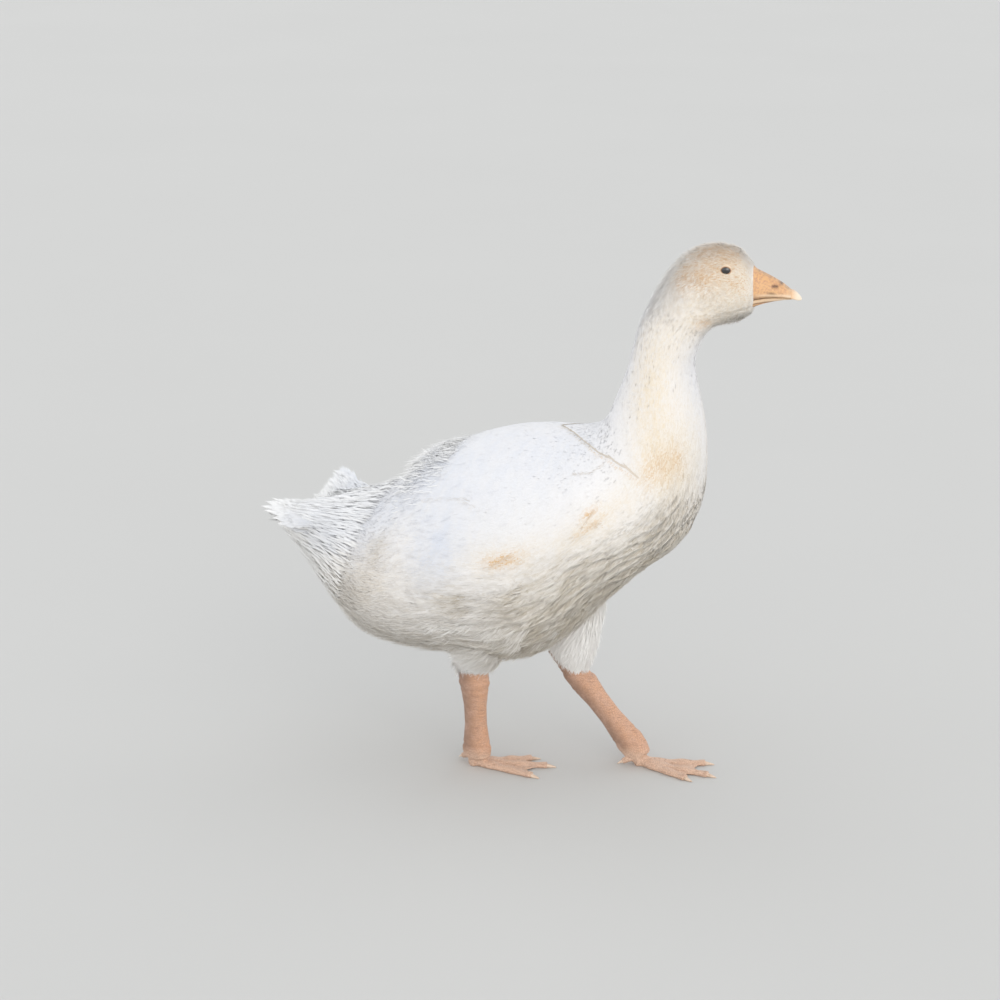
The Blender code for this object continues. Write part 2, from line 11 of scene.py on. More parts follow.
import bpy
import numpy as np
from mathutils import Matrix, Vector


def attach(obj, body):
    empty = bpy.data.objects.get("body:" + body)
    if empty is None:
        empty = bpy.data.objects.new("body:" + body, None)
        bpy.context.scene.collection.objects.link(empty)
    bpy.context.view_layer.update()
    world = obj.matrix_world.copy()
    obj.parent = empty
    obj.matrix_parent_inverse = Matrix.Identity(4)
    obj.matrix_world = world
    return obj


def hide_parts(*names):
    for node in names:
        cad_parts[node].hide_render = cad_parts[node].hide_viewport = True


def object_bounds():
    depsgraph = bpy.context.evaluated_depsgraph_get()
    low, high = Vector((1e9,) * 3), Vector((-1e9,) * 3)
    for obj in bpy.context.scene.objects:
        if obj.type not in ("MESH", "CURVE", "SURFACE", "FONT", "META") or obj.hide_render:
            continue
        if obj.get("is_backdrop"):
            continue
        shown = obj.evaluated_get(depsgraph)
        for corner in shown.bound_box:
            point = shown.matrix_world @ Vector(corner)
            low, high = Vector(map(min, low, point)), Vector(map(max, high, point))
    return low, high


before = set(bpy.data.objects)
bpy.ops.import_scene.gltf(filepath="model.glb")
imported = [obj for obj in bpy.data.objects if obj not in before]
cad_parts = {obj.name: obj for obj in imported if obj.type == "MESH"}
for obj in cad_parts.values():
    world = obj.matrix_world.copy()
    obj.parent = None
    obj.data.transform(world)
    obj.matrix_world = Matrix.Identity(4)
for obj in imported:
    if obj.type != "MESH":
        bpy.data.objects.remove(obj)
CAD_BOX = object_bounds()
MM = 0.001
MIDDLE_X = 48 * MM
PI = math.pi
UP, AHEAD = np.array([0, 0, 1.0]), np.array([1.0, 0, 0])
print("frame nodes:", len(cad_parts))

# %% [markdown]
# ## Camera, light and floor
# The photograph was taken from the bird's right, a little ahead of it and above its back. The same place and a
# long lens give the same outline. Large soft lights stand for the bright, even sky of the photograph, because
# small hard ones would make every tuft throw its own sharp shadow.

# %% Camera, light and floor
CAMERA_PLACE = np.array([0.93945555 - MIDDLE_X, -2.52441347, 1.12620799])
CAMERA_AIM = np.array([-0.0054292 - MIDDLE_X, 0.07163604, 0.28157862])


def aimed(thing, place, aim):
    """Puts a camera or lamp at a place and turns its -Z axis towards the aim, with +Y kept up."""
    thing.location = place
    thing.rotation_euler = (Vector(aim) - Vector(place)).to_track_quat("-Z", "Y").to_euler()


camera_data = bpy.data.cameras.new("camera")
camera_data.lens, camera_data.sensor_width = 93.6, 36.0
camera_data.clip_end = 60
camera = bpy.data.objects.new("camera", camera_data)
bpy.context.scene.collection.objects.link(camera)
aimed(camera, CAMERA_PLACE, CAMERA_AIM)
bpy.context.scene.camera = camera

LAMPS = (
    ("key", (1.6, -2.2, 0.95), 0.66, 42, (1.0, 0.965, 0.92)),
    ("front", (2.4, -1.2, 1.0), 0.40, 50, (1.0, 0.97, 0.94)),
    ("low", (0.3, -2.6, 0.25), 0.55, 70, (1.0, 0.98, 0.95)),
    ("side", (-2.4, -1.4, 0.7), 0.30, 60, (0.98, 0.985, 1.0)),
    ("left", (1.6, 2.2, 1.3), 0.40, 60, (0.97, 0.98, 1.0)),
    ("back", (-2.4, 1.2, 1.2), 0.40, 60, (0.97, 0.98, 1.0)),
)
for name, place, strength, width, colour in LAMPS:
    lamp = bpy.data.lights.new(name, "SUN")
    lamp.energy, lamp.angle, lamp.color = strength, math.radians(width), colour
    holder = bpy.data.objects.new(name, lamp)
    bpy.context.scene.collection.objects.link(holder)
    aimed(holder, place, (0, 0, 0))

world = bpy.data.worlds.new("studio")
world.use_nodes = True
world.node_tree.nodes["Background"].inputs["Color"].default_value = (0.84, 0.86, 0.88, 1)
world.node_tree.nodes["Background"].inputs["Strength"].default_value = 0.98
bpy.context.scene.world = world
bpy.context.scene.view_settings.view_transform = "Standard"
print("camera at", CAMERA_PLACE.round(3), "lamps:", len(LAMPS))

# %% [markdown]
# ## Meshes from arrays
# Every piece below is a table of points on a grid. One helper turns such tables into meshes, and gives each
# mesh its material, its numbers per point and its UV map. `foreach_set` hands whole arrays to Blender, so no
# loop runs over the points.

# %% Meshes from arrays
def unit(vectors):
    """The vectors divided by their own lengths."""
    vectors = np.asarray(vectors, float)
    return vectors / np.linalg.norm(vectors, axis=-1, keepdims=True)


def circle(count):
    """Evenly spaced angles once round, the last one short of the first."""
    return np.linspace(0, 2 * PI, count, endpoint=False)


def bell(distance, width, power=2):
    """1 where the distance is 0, falling off smoothly: e to the minus power of distance over width."""
    return np.exp(-(distance / width) ** power)


def keep_numbers(mesh, numbers):
    """Keeps each named array on the mesh, one number for each point, for the materials to read."""
    for key, values in numbers.items():
        mesh.attributes.new(key, "FLOAT", "POINT").data.foreach_set("value", values.astype(np.float32).ravel())


def put(name, points, faces, surface, numbers=None, uv=None, smooth=True, normals=None):
    """A mesh object from points (n, 3) and a list of face arrays, each (m, 3) or (m, 4).

    Points are in the bird's own frame, where x is 0 over the right ankle, so x moves back by MIDDLE_X. Numbers
    are per point, and normals, where they are given, per corner of each face.
    """
    mesh = bpy.data.meshes.new(name)
    points = np.asarray(points, np.float64).reshape(-1, 3) - np.array([MIDDLE_X, 0, 0])
    faces = [np.asarray(f, np.int32) for f in faces if len(f)]
    corners = np.concatenate([f.ravel() for f in faces])
    sizes = np.concatenate([np.full(len(f), f.shape[1], np.int32) for f in faces])
    mesh.vertices.add(len(points))
    mesh.vertices.foreach_set("co", points.astype(np.float32).ravel())
    mesh.loops.add(len(corners))
    mesh.loops.foreach_set("vertex_index", corners)
    mesh.polygons.add(len(sizes))
    mesh.polygons.foreach_set("loop_start", np.concatenate([[0], np.cumsum(sizes)[:-1]]).astype(np.int32))
    mesh.polygons.foreach_set("use_smooth", np.full(len(sizes), smooth))
    mesh.update(calc_edges=True)
    keep_numbers(mesh, numbers or {})
    if uv is not None:
        mesh.uv_layers.new(name="OFBake").data.foreach_set("uv", uv[corners].astype(np.float32).ravel())
    if normals is not None:
        mesh.normals_split_custom_set(unit(normals.reshape(-1, 3)).tolist())
    made = bpy.data.objects.new(name, mesh)
    bpy.context.scene.collection.objects.link(made)
    mesh.materials.append(surface)
    return made


def loft_faces(rows, around, first=0):
    """Faces of a tube of rings: quads between rings, and a fan to a middle point at either end."""
    i, j = np.meshgrid(np.arange(rows - 1), np.arange(around), indexing="ij")
    a, b = i * around + j, i * around + (j + 1) % around
    quads = np.stack([a, b, b + around, a + around], -1).reshape(-1, 4)
    j = np.arange(around)
    k = (j + 1) % around
    low = np.stack([k, j, np.full(around, rows * around)], -1)
    last = (rows - 1) * around
    high = np.stack([last + j, last + k, np.full(around, rows * around + 1)], -1)
    return [quads + first, np.concatenate([low, high]) + first]


def loft_points(rings):
    """The rings' points, then the middle of the first and of the last ring."""
    rings = np.asarray(rings, float)
    return np.concatenate([rings.reshape(-1, 3), [rings[0].mean(0), rings[-1].mean(0)]])


def outward(points, faces):
    """The faces, all turned over if the closed body that they make has a negative volume."""
    volume = 0.0
    for f in faces:
        for k in range(1, f.shape[1] - 1):
            a, b, c = points[f[:, 0]], points[f[:, k]], points[f[:, k + 1]]
            volume += np.einsum("ij,ij->i", a, np.cross(b, c)).sum()
    return [f[:, ::-1] for f in faces] if volume < 0 else faces


def loft(name, rings, surface, numbers=None):
    """A closed smooth body through rings of equally many points."""
    rings = np.asarray(rings, float)
    points = loft_points(rings)
    return put(name, points, outward(points, loft_faces(*rings.shape[:2])), surface, numbers)


def several(name, bodies, surface, numbers=None):
    """Many closed lofts, each an array of rings, as one mesh."""
    points, faces, start = [], [], 0
    for rings in bodies:
        own = loft_points(rings)
        for f in outward(own, loft_faces(*np.shape(rings)[:2])):
            faces.append(f + start)
        points.append(own)
        start += len(own)
    return put(name, np.concatenate(points), faces, surface, numbers)


def ride(made, slot, *nodes):
    """Ties a piece to the frame: it stands for these CAD nodes, which are hidden. The slot is not used."""
    if nodes:
        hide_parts(*nodes)
    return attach(made, "root")


print("helpers ready")

# %% [markdown]
# ## The body as one surface
# From the tail over the back, up the neck and over the crown runs one row of ovals. Each is given by its point
# on the back line, its point on the belly line and its half width. A smooth curve through the rows gives the
# ovals between them. The head is then turned a little to the left, and the tail is swung to the left.

# %% The body as one surface
SECTIONS = np.array([
    (-214, 264, -226, 257, 28), (-202, 268, -228, 250, 37), (-186, 275, -224, 236, 43), (-170, 282, -215, 216, 46),
    (-150, 291, -203, 196, 48), (-118, 301, -167, 164, 76), (-86, 321, -133, 136, 97), (-52, 350, -88, 126, 109),
    (-11, 369, -38, 124, 116), (30, 381, 16, 119, 117), (65, 386, 62, 130, 114), (93, 387, 103, 162, 107),
    (113, 390, 140, 202, 98), (126, 396, 177, 236, 88), (134, 405, 213, 268, 77), (139, 416, 234, 310, 67),
    (144, 429, 238, 355, 57), (149, 443, 236, 396, 49), (155, 460, 229, 432, 42), (160, 482, 224, 460, 37),
    (166, 505, 228, 482, 35), (177, 529, 236, 498, 34), (189, 551, 246, 507, 34), (204, 572, 257, 510, 33),
    (222, 586, 266, 512, 32), (245, 591, 274, 516, 30.3), (266, 588, 281, 520, 27), (279, 576, 284, 526, 21.5),
    (285, 567.5, 285, 528.5, 16),
], float) * MM
TAIL_ROWS, LAST = 4, 24
BELLY_FULLNESS = 0.10
BODY_PLACE = np.array([10, 0, 9]) * MM
HEAD_TURN, HEAD_AXIS_X, HEAD_TURN_Z = math.radians(10), 195 * MM, (420 * MM, 520 * MM)
TAIL_TURN, TAIL_AXIS_X, TAIL_TURN_LENGTH = math.radians(-10), -110 * MM, 90 * MM


def ease(t):
    """0 to 1 with a soft start and end: three times the square less twice the cube."""
    t = np.clip(t, 0, 1)
    return t * t * (3 - 2 * t)


def through(rows, t):
    """A smooth curve through rows, which are one unit of t apart (Catmull-Rom)."""
    rows = np.asarray(rows, float)
    t = np.asarray(t, float)
    i = np.clip(np.floor(t).astype(int), 0, len(rows) - 2)
    f = (t - i)[..., None]
    padded = np.concatenate([2 * rows[:1] - rows[1:2], rows, 2 * rows[-1:] - rows[-2:-1]])
    a, b, c, d = (padded[i + k] for k in range(4))
    return b + 0.5 * f * (c - a + f * (2 * a - 5 * b + 4 * c - d + f * (3 * (b - c) + d - a)))


def turned(points, axis_x, angle):
    """Points turned by an angle, which may differ from point to point, about the upright axis at axis_x."""
    x, y = points[..., 0] - axis_x, points[..., 1]
    c, s = np.cos(angle), np.sin(angle)
    return np.stack([axis_x + x * c - y * s, x * s + y * c, points[..., 2]], -1)


def posed(points):
    """The straight bird's points with the head and the tail turned, at their height over the feet."""
    head = ease((points[..., 2] - HEAD_TURN_Z[0]) / (HEAD_TURN_Z[1] - HEAD_TURN_Z[0]))
    points = turned(points, HEAD_AXIS_X, HEAD_TURN * head)
    tail = ease((TAIL_AXIS_X - points[..., 0]) / TAIL_TURN_LENGTH)
    return turned(points, TAIL_AXIS_X, TAIL_TURN * tail) + BODY_PLACE


def straight_body(s, around):
    """The body before it is posed. s counts ovals from the tail's root, around is 0 on the back line."""
    s, around = np.broadcast_arrays(np.asarray(s, float), np.asarray(around, float))
    row = through(SECTIONS, s + TAIL_ROWS)
    back, belly, half = row[..., 0:2], row[..., 2:4], row[..., 4]
    up = np.cos(around)
    across = half * np.sin(around) * (1 - BELLY_FULLNESS * up * ease(s + 1))
    middle = (back + belly) / 2 + up[..., None] * (back - belly) / 2
    return np.stack([middle[..., 0], across, middle[..., 1]], -1)


def body(s, around, out=0.0):
    """The posed surface, moved out along its normal, the cross product of its two directions."""
    step = 1e-3
    here = posed(straight_body(s, around))
    along = posed(straight_body(s + step, around)) - posed(straight_body(s - step, around))
    turn = posed(straight_body(s, around + step)) - posed(straight_body(s, around - step))
    return here + unit(np.cross(along, turn)) * np.asarray(out)[..., None]


print("tip of the tail's core:", body(-4.0, 0.0).round(3), "brow:", body(24.0, 0.0).round(3))

# %% [markdown]
# ## The lie of the coat
# Down isn't even. It is deep on the rump and short on the face, it parts into wavy furrows on the lower breast,
# and a small folded wing swells the side with a crease along its front edge, painted with a thin dark line of
# shade. All of this is a height over the skin that depends on the place, so the skin and every tuft read the
# same functions. Smooth random hills, made by blending random numbers on a grid, keep it natural. Where the coat
# is smooth the skin lies only a little under the tips: over a deep dark hollow, every chink between two tufts
# would show as a dark dash.

# %% The lie of the coat
def hills(x, y, turns, seed):
    """Smooth random heights from -1 to 1, one hill per unit of x and y, repeating after this many y units."""
    table = np.random.default_rng(seed).uniform(-1, 1, (211, turns))
    x, y = np.broadcast_arrays(x, y)
    i, j = np.floor(x).astype(int), np.floor(y).astype(int)
    f, g = ease(x - i), ease(y - j)
    low = table[i % 211, j % turns] * (1 - g) + table[i % 211, (j + 1) % turns] * g
    high = table[(i + 1) % 211, j % turns] * (1 - g) + table[(i + 1) % 211, (j + 1) % turns] * g
    return low * (1 - f) + high * f


def spans(s):
    """How many metres one unit of s and one radian around are worth, about, at s."""
    along = np.interp(s, [-4, 0, 3, 9, 12, 16, 20, 24], [12, 40, 46, 42, 40, 26, 22, 14])
    turn = np.interp(s, [-4, 0, 2, 5, 8, 12, 15, 18, 22, 24], [20, 50, 95, 118, 112, 68, 42, 34, 34, 18])
    return along * MM, turn * MM


def near(s, around, line, width):
    """1 on a line through (s, degrees) points, on either side of the bird, falling off over its width."""
    along, turn = spans(s)
    x, y = s * along, np.abs(around) * turn
    best = np.full(np.shape(x), 1.0)
    for (s0, d0), (s1, d1) in zip(line[:-1], line[1:]):
        ax, ay, bx, by = s0 * along, np.radians(d0) * turn, s1 * along, np.radians(d1) * turn
        t = np.clip(((x - ax) * (bx - ax) + (y - ay) * (by - ay)) / ((bx - ax) ** 2 + (by - ay) ** 2 + 1e-12), 0, 1)
        best = np.minimum(best, np.hypot(x - ax - t * (bx - ax), y - ay - t * (by - ay)))
    return bell(best, width)


# Blobs are given as (s, degrees from the back line, half length in s, half height in degrees, strength).
FLUFFY = (
    (-1.5, 60, 2.6, 200, 0.30), (1.0, 130, 2.4, 60, 0.9), (4.5, 165, 4.0, 42, 0.9), (8.5, 172, 2.5, 26, 0.4),
    (3.1, 8, 0.55, 28, 1.0), (18.6, 5, 2.6, 48, 0.95), (21.5, 0, 1.8, 34, 0.9), (5.3, 112, 1.0, 16, 0.7),
    (20.2, 172, 1.7, 30, 0.8), (0.8, 20, 1.2, 40, 0.5),
)


def blobs(s, around, places, broken=1.0):
    """Soft blobs laid over each other, at most 1. Broken multiplies their strength from place to place."""
    degrees = np.degrees(np.abs(around))
    clear = np.ones(np.broadcast(s, around).shape)
    for s0, d0, wide, tall, strength in places:
        far = ((s - s0) / wide) ** 2 + ((degrees - d0) / tall) ** 2
        clear = clear * (1 - np.clip(strength * np.exp(-far) * broken, 0, 1))
    return 1 - clear


SMOOTH_DEPTH = 0.16


def depth(s, around):
    """The coat's depth: the skin lies this far inside the outline, furthest where the coat is shaggy.

    Where it is smooth, only the share SMOOTH_DEPTH of the full depth is left.
    """
    stops = [-4, -1, 1, 4, 9, 12, 16, 19, 21, 22.5, 23.3, 24]
    plain = np.interp(s, stops, [4, 6, 6.5, 6.5, 5.6, 5, 5, 5, 4, 3, 2.2, 1.2])
    return plain * (SMOOTH_DEPTH + (1 - SMOOTH_DEPTH) * blobs(s, around, FLUFFY)) * MM


WING_FROM, WING_TO, WING_HEIGHT = 10.2, 3.3, 9 * MM
WING_EDGE = [(6.65, 2), (7.35, 12), (8.9, 36), (10.1, 58), (10.7, 78), (10.9, 94)]
CREASES = (
    [(4.9, 60), (4.4, 55), (3.4, 52)],
    [(8.05, 52), (8.8, 57), (9.75, 58)],
    [(22.6, 138), (20.2, 134), (18.8, 130)],
)
FURROW_DEPTH = 4.0 * MM


def wing_swell(s, around):
    """The folded wing's swelling: a bow along it times a bow across it."""
    u = (s - WING_FROM) / (WING_TO - WING_FROM)
    near_u = np.clip(u, 0, 1)
    upper = np.radians(60 - 36 * ease(near_u * 2.2) - 8 * near_u ** 3)
    lower = np.radians(93 + 5 * np.sin(PI * near_u) - 30 * near_u ** 4)
    v = (np.abs(around) - upper) / (lower - upper)
    along = ease((u + 0.03) * 2.8) * ease((1.05 - u) * 2.2)
    return WING_HEIGHT * along * np.sin(PI * np.clip(v, 0, 1)) * (0.2 + 0.8 * ease(v * 1.8))


def furrows(s, around):
    """Wavy rows of parted down, longest along the lie: 0 on a crest and 1 in a furrow, and where they are.

    The rows bend with the breast's own curve, and coarse hills shift them, so that no two run alike.
    """
    degrees = np.degrees(np.abs(around))
    bend = 0.71 * np.clip(s - 5.5, 0, 6) ** 2
    row = np.abs(around) / (2 * PI) * 200 - bend + 1.5 * hills(s * 2.2, around * 12 / PI, 24, 11)
    rows = hills(s * 1.9 + 0.6 * hills(s * 3, around * 24 / PI, 48, 12), row, 200, 13)
    fine = hills(s * 4.0, row * 2.1, 420, 14)
    start = 80 + 9 * np.clip(s - 8, 0, 4)
    mask = ease((degrees - start) / 34) * ease((s - 2.8) / 3.5) * ease((12.4 - s) / 2)
    return np.clip(0.5 - 0.8 * rows - 0.45 * fine, 0, 1), mask


def relief(s, around):
    """The skin's height over its plain place: the wing, the furrows, the creases and soft lumps."""
    depths, mask = furrows(s, around)
    lumps = hills(s * 2.5, around * 16 / PI, 32, 21)
    crease = near(s, around, WING_EDGE, 1.9 * MM) * (1 - 0.8 * ease((s - 9.0) / 1.3))
    small = sum(near(s, around, line, 1.5 * MM) for line in CREASES)
    down = FURROW_DEPTH * depths * mask + 0.35 * MM * crease + 0.4 * MM * small
    return wing_swell(s, around) + 0.4 * MM * lumps * ease(8 - abs(s - 5)) - down


def skin_out(s, around):
    """How far the skin lies from the plain outline, inwards being negative."""
    return relief(s, around) - depth(s, around)


stands = skin_out(np.linspace(0, 23, 200)[:, None], np.linspace(-3.1, 3.1, 90)[None, :]) / MM
print("skin from", stands.min().round(1), "to", stands.max().round(1), "mm")

# %% [markdown]
# ## Markings
# The white bird isn't plain white. Cream runs down the neck, a yellow patch sits on the side of the breast, the
# crown and the ring round the eye are peach, and the down of the belly is soiled to a greyish beige, with painted
# shade in its furrows. A cool bluish grey on the back, the wing, the flank, the tail's base and the neck is painted
# shade. Each marking is a soft blob at a place of the surface. Two more numbers say where painted light whitens
# the down, in the shaded places of belly, rump, throat, nape, cheek and the step behind the wings, and where it is
# so shaggy that its locks differ. Skin and tufts keep the same six numbers, so the colours agree.

# %% Markings
BLOBS = {
    "cream": (
        (13.9, 88, 2.2, 38, 0.60), (12.3, 112, 1.1, 26, 0.50), (15.9, 70, 1.8, 50, 0.32), (18.5, 120, 2.0, 50, 0.50),
        (21.6, 80, 2.6, 75, 0.68), (9.4, 92, 2.6, 14, 0.30), (8.0, 118, 3.0, 25, 0.22), (2.4, 92, 1.2, 26, 0.30),
        (5.9, 84, 1.2, 8, 0.35), (12.9, 150, 1.6, 30, 0.28), (12.0, 118, 0.7, 28, 0.65), (8.8, 90, 0.9, 6, 0.35),
    ),
    "rust": (
        (11.9, 114, 0.36, 11, 0.58), (12.3, 130, 0.36, 12, 0.46), (11.4, 100, 0.38, 8, 0.36),
        (8.85, 82.5, 0.30, 3.0, 0.60), (8.8, 91, 0.55, 2.6, 0.34), (5.85, 85, 0.40, 3.2, 0.70),
        (6.25, 86, 0.4, 4.0, 0.25), (21.0, 24, 1.2, 26, 0.40), (20.2, 66, 0.9, 22, 0.55), (21.7, 44, 0.7, 16, 0.36),
        (21.6, 88, 0.8, 14, 0.30), (19.1, 52, 0.6, 18, 0.35), (18.05, 132, 0.5, 14, 0.40),
    ),
    # Painted shade: a cool bluish grey where the back, wing, flank, tail's base and neck lie in shade.
    "blue": (
        (4.2, 80, 0.62, 17, 0.95), (3.2, 40, 2.6, 42, 0.50), (7.2, 30, 3.0, 36, 0.42), (-1.0, 40, 2.0, 80, 0.45),
        (0.8, 75, 1.2, 30, 0.45), (14.5, 170, 3.0, 26, 0.35), (15.0, 12, 3.0, 30, 0.32),
    ),
    # Painted light: the down is whitened in these places, which lie in shade.
    "painted_light": (
        (18.6, 10, 2.4, 60, 0.9), (20.8, 165, 2.4, 50, 1.0), (21.5, 100, 2.4, 60, 0.9), (3.1, 10, 0.9, 40, 0.8),
        (-1.5, 60, 2.6, 110, 1.0), (4.5, 165, 5.5, 60, 1.0), (9.5, 165, 3.0, 45, 0.9),
    ),
    "shag": ((4.0, 160, 5.0, 42, 0.7), (9.0, 150, 3.0, 34, 0.45), (1.0, 125, 1.6, 40, 0.35)),
    # Soiling of belly and rump; markings() adds painted shade to the same number.
    "soil": (
        (4.0, 165, 4.5, 40, 0.55), (1.2, 118, 1.3, 26, 0.42), (2.4, 74, 0.35, 9, 0.35), (9.0, 160, 3.2, 34, 0.42),
        (4.7, 104, 0.4, 8, 0.45), (6.0, 106, 0.5, 6, 0.40), (18.4, 8, 1.8, 26, 0.10), (20.5, 170, 2.0, 34, 0.04),
        (12.0, 116, 0.9, 26, 0.14), (6.6, 128, 2.0, 18, 0.30),
    ),
}
CLEAN_PLACE = ((5.2, 122, 1.0, 15, 1.0),)
FRECKLES = ((20.9, 52, 1.3, 30, 0.9), (22.4, 82, 1.0, 26, 0.7), (19.6, 60, 0.8, 20, 0.6), (22.9, 110, 0.8, 24, 0.4))


def markings(s, around):
    """For each marking, the soft sum of its blobs, broken up by small random hills.

    Furrows, creases and the wing's front edge get painted shade in the same number as the soiling, and the edge's
    lower end is rusty.
    """
    found = {}
    for number, (name, places) in enumerate(BLOBS.items()):
        broken = 1 + 0.38 * hills(s * 9, around * 40 / PI, 80, 31 + number)
        found[name] = blobs(s, around, places, broken)
    depths, mask = furrows(s, around)
    # Painted shade in the furrows of the parted down.
    found["soil"] = np.clip(found["soil"] + 0.55 * depths ** 2 * mask, 0, 1)
    edge = near(s, around, WING_EDGE, 1.5 * MM)
    creases = sum(near(s, around, crease, 1.2 * MM) for crease in CREASES)
    # Painted shade along the wing's front edge and in the creases.
    dark = 0.45 * edge * (1 - 0.85 * ease((s - 8.6) / 1.4)) + 0.15 * creases
    found["shag"] = np.clip(found["shag"] + 0.5 * mask, 0, 1)
    found["soil"] = np.clip(found["soil"] * (1 - 0.65 * blobs(s, around, CLEAN_PLACE)) + dark, 0, 1)
    found["rust"] = np.clip(found["rust"] + 0.30 * edge * ease((s - 8.4) / 1.2), 0, 1)
    return found


print("markings:", ", ".join(BLOBS))

# %% [markdown]
# ## Plumage finish
# Down scatters light through fine barbs, so it is matt and softly brighter at grazing angles. One node group
# mixes the coat's colours from the markings, with a fine grain in the bird's own space. The skin and every
# coat piece use it, each with its own values. In a coat each lock is painted darker towards its root, a painted
# shade for the hollows between locks, and some locks are darker than their neighbours, both most where the
# down is shaggy.

# %% Plumage finish
def new_group(name, inputs, outputs):
    """An empty shader group with named sockets. Each is (name, socket type, start value)."""
    group = bpy.data.node_groups.new(name, "ShaderNodeTree")
    for title, kind, value in inputs:
        group.interface.new_socket(title, in_out="INPUT", socket_type=kind).default_value = value
    for title, kind in outputs:
        group.interface.new_socket(title, in_out="OUTPUT", socket_type=kind)
    return group, group.nodes.new("NodeGroupInput"), group.nodes.new("NodeGroupOutput")


def node(tree, kind, **values):
    """A node with settings by name, and its sockets set by the names after an 'in_'."""
    made = tree.nodes.new(kind)
    for key, value in values.items():
        if key.startswith("in_"):
            made.inputs[key[3:].replace("_", " ")].default_value = value
        else:
            setattr(made, key, value)
    return made


def feed(tree, socket, value):
    """Links a socket to the value if that is a socket too, and sets it to the value otherwise."""
    if isinstance(value, bpy.types.NodeSocket):
        tree.links.new(value, socket)
    else:
        socket.default_value = value


def mixed(tree, factor, low, high):
    """A colour mix of two sockets or colours by a factor socket or number."""
    made = node(tree, "ShaderNodeMix", data_type="RGBA")
    for socket, value in ((made.inputs["Factor"], factor), (made.inputs[6], low), (made.inputs[7], high)):
        feed(tree, socket, value)
    return made.outputs[2]


def maths(tree, operation, a, b=0.0, clamp=False):
    """One sum, product or the like of two sockets or numbers."""
    made = node(tree, "ShaderNodeMath", operation=operation, use_clamp=clamp)
    for socket, value in zip(made.inputs, (a, b)):
        feed(tree, socket, value)
    return made.outputs[0]


def attribute(tree, name):
    """The number that a mesh keeps per point under this name."""
    return node(tree, "ShaderNodeAttribute", attribute_name=name, attribute_type="GEOMETRY").outputs["Fac"]


def own_place(tree):
    """The place in the bird's own space, as every texture needs it."""
    return node(tree, "ShaderNodeTexCoord").outputs["Object"]


def noise(tree, where, scale, detail=3.0, roughness=0.5):
    """A cloudy noise over a place, from 0 to 1. The scale may be a socket too."""
    made = node(tree, "ShaderNodeTexNoise", in_Detail=detail, in_Roughness=roughness)
    feed(tree, made.inputs["Scale"], scale)
    tree.links.new(where, made.inputs["Vector"])
    return made.outputs["Fac"]


def spotted(tree, value, low, gain):
    """Spots out of a noise: what it is over a low value, times a gain, kept between 0 and 1."""
    return maths(tree, "MULTIPLY", maths(tree, "SUBTRACT", value, low), gain, clamp=True)


def bumped(tree, height, strength, distance, shader):
    """Gives the shader the small relief of a height."""
    bump = node(tree, "ShaderNodeBump", in_Strength=strength, in_Distance=distance)
    tree.links.new(height, bump.inputs["Height"])
    tree.links.new(bump.outputs["Normal"], shader.inputs["Normal"])


PLUMAGE_COLOURS = {
    "White": (0.845, 0.835, 0.84, 1), "Cream": (0.85, 0.735, 0.565, 1), "Rust": (0.74, 0.49, 0.265, 1),
    "Blue": (0.69, 0.73, 0.82, 1), "Soil": (0.56, 0.49, 0.385, 1),
}
# Both whiter colours are painted light: the first for the coat's shaded places, the second for the down of the
# thighs, the tail and the step.
PAINTED_LIGHT_WHITE, LIT_WHITE = (0.985, 0.98, 0.97, 1), (0.98, 0.975, 0.965, 1)
SPECK_COLOUR, PAINTED_ROOT_SHADE, LUCK_COLOUR = (0.62, 0.56, 0.50, 1), (0.50, 0.45, 0.37, 1), (0.52, 0.48, 0.42, 1)
plumage_group, given, result = new_group("plumage_colours", (
    *((title, "NodeSocketColor", colour) for title, colour in PLUMAGE_COLOURS.items()),
    *((title, "NodeSocketFloat", 0.1) for title in ("Grain", "Root shade", "Shag shade", "Luck", "Shag luck")),
), (("Color", "NodeSocketColor"),))
tree = plumage_group
grain = noise(tree, own_place(tree), 420.0, roughness=0.6)
# Painted light: where its number is high, the white is mixed towards a whiter one.
colour = mixed(tree, attribute(tree, "painted_light"), given.outputs["White"], PAINTED_LIGHT_WHITE)
# The bluish grey is painted shade, and the soiling number carries painted shade as well.
for title in ("Blue", "Cream", "Rust", "Soil"):
    colour = mixed(tree, attribute(tree, title.lower()), colour, given.outputs[title])
colour = mixed(tree, maths(tree, "MULTIPLY", grain, given.outputs["Grain"]), colour, SPECK_COLOUR)
# Painted shade: each lock darkens towards its root, most where the down is shaggy.
rootness = maths(tree, "SUBTRACT", 1.0, attribute(tree, "tip"))
for number, plain, shaggy, towards in (
        (rootness, "Root shade", "Shag shade", PAINTED_ROOT_SHADE),
        (attribute(tree, "luck"), "Luck", "Shag luck", LUCK_COLOUR)):
    amount = maths(tree, "MULTIPLY", attribute(tree, "shag"), given.outputs[shaggy])
    amount = maths(tree, "ADD", amount, given.outputs[plain])
    colour = mixed(tree, maths(tree, "MULTIPLY", number, amount), colour, towards)
tree.links.new(colour, result.inputs["Color"])


def new_material(name, roughness, sheen=0.0, coat=0.0, coat_roughness=0.1, specular=0.5, subsurface=0.0):
    """A material whose constant numbers sit on the shader's own sockets."""
    made = bpy.data.materials.new(name)
    made.use_nodes = True
    shader = made.node_tree.nodes["Principled BSDF"]
    for title, value in (
            ("Roughness", roughness), ("Sheen Weight", sheen), ("Sheen Roughness", 0.6), ("Coat Weight", coat),
            ("Coat Roughness", coat_roughness), ("Specular IOR Level", specular),
            ("Subsurface Weight", subsurface), ("Subsurface Radius", (3 * MM, 3 * MM, 3 * MM))):
        shader.inputs[title].default_value = value
    return made, made.node_tree, shader


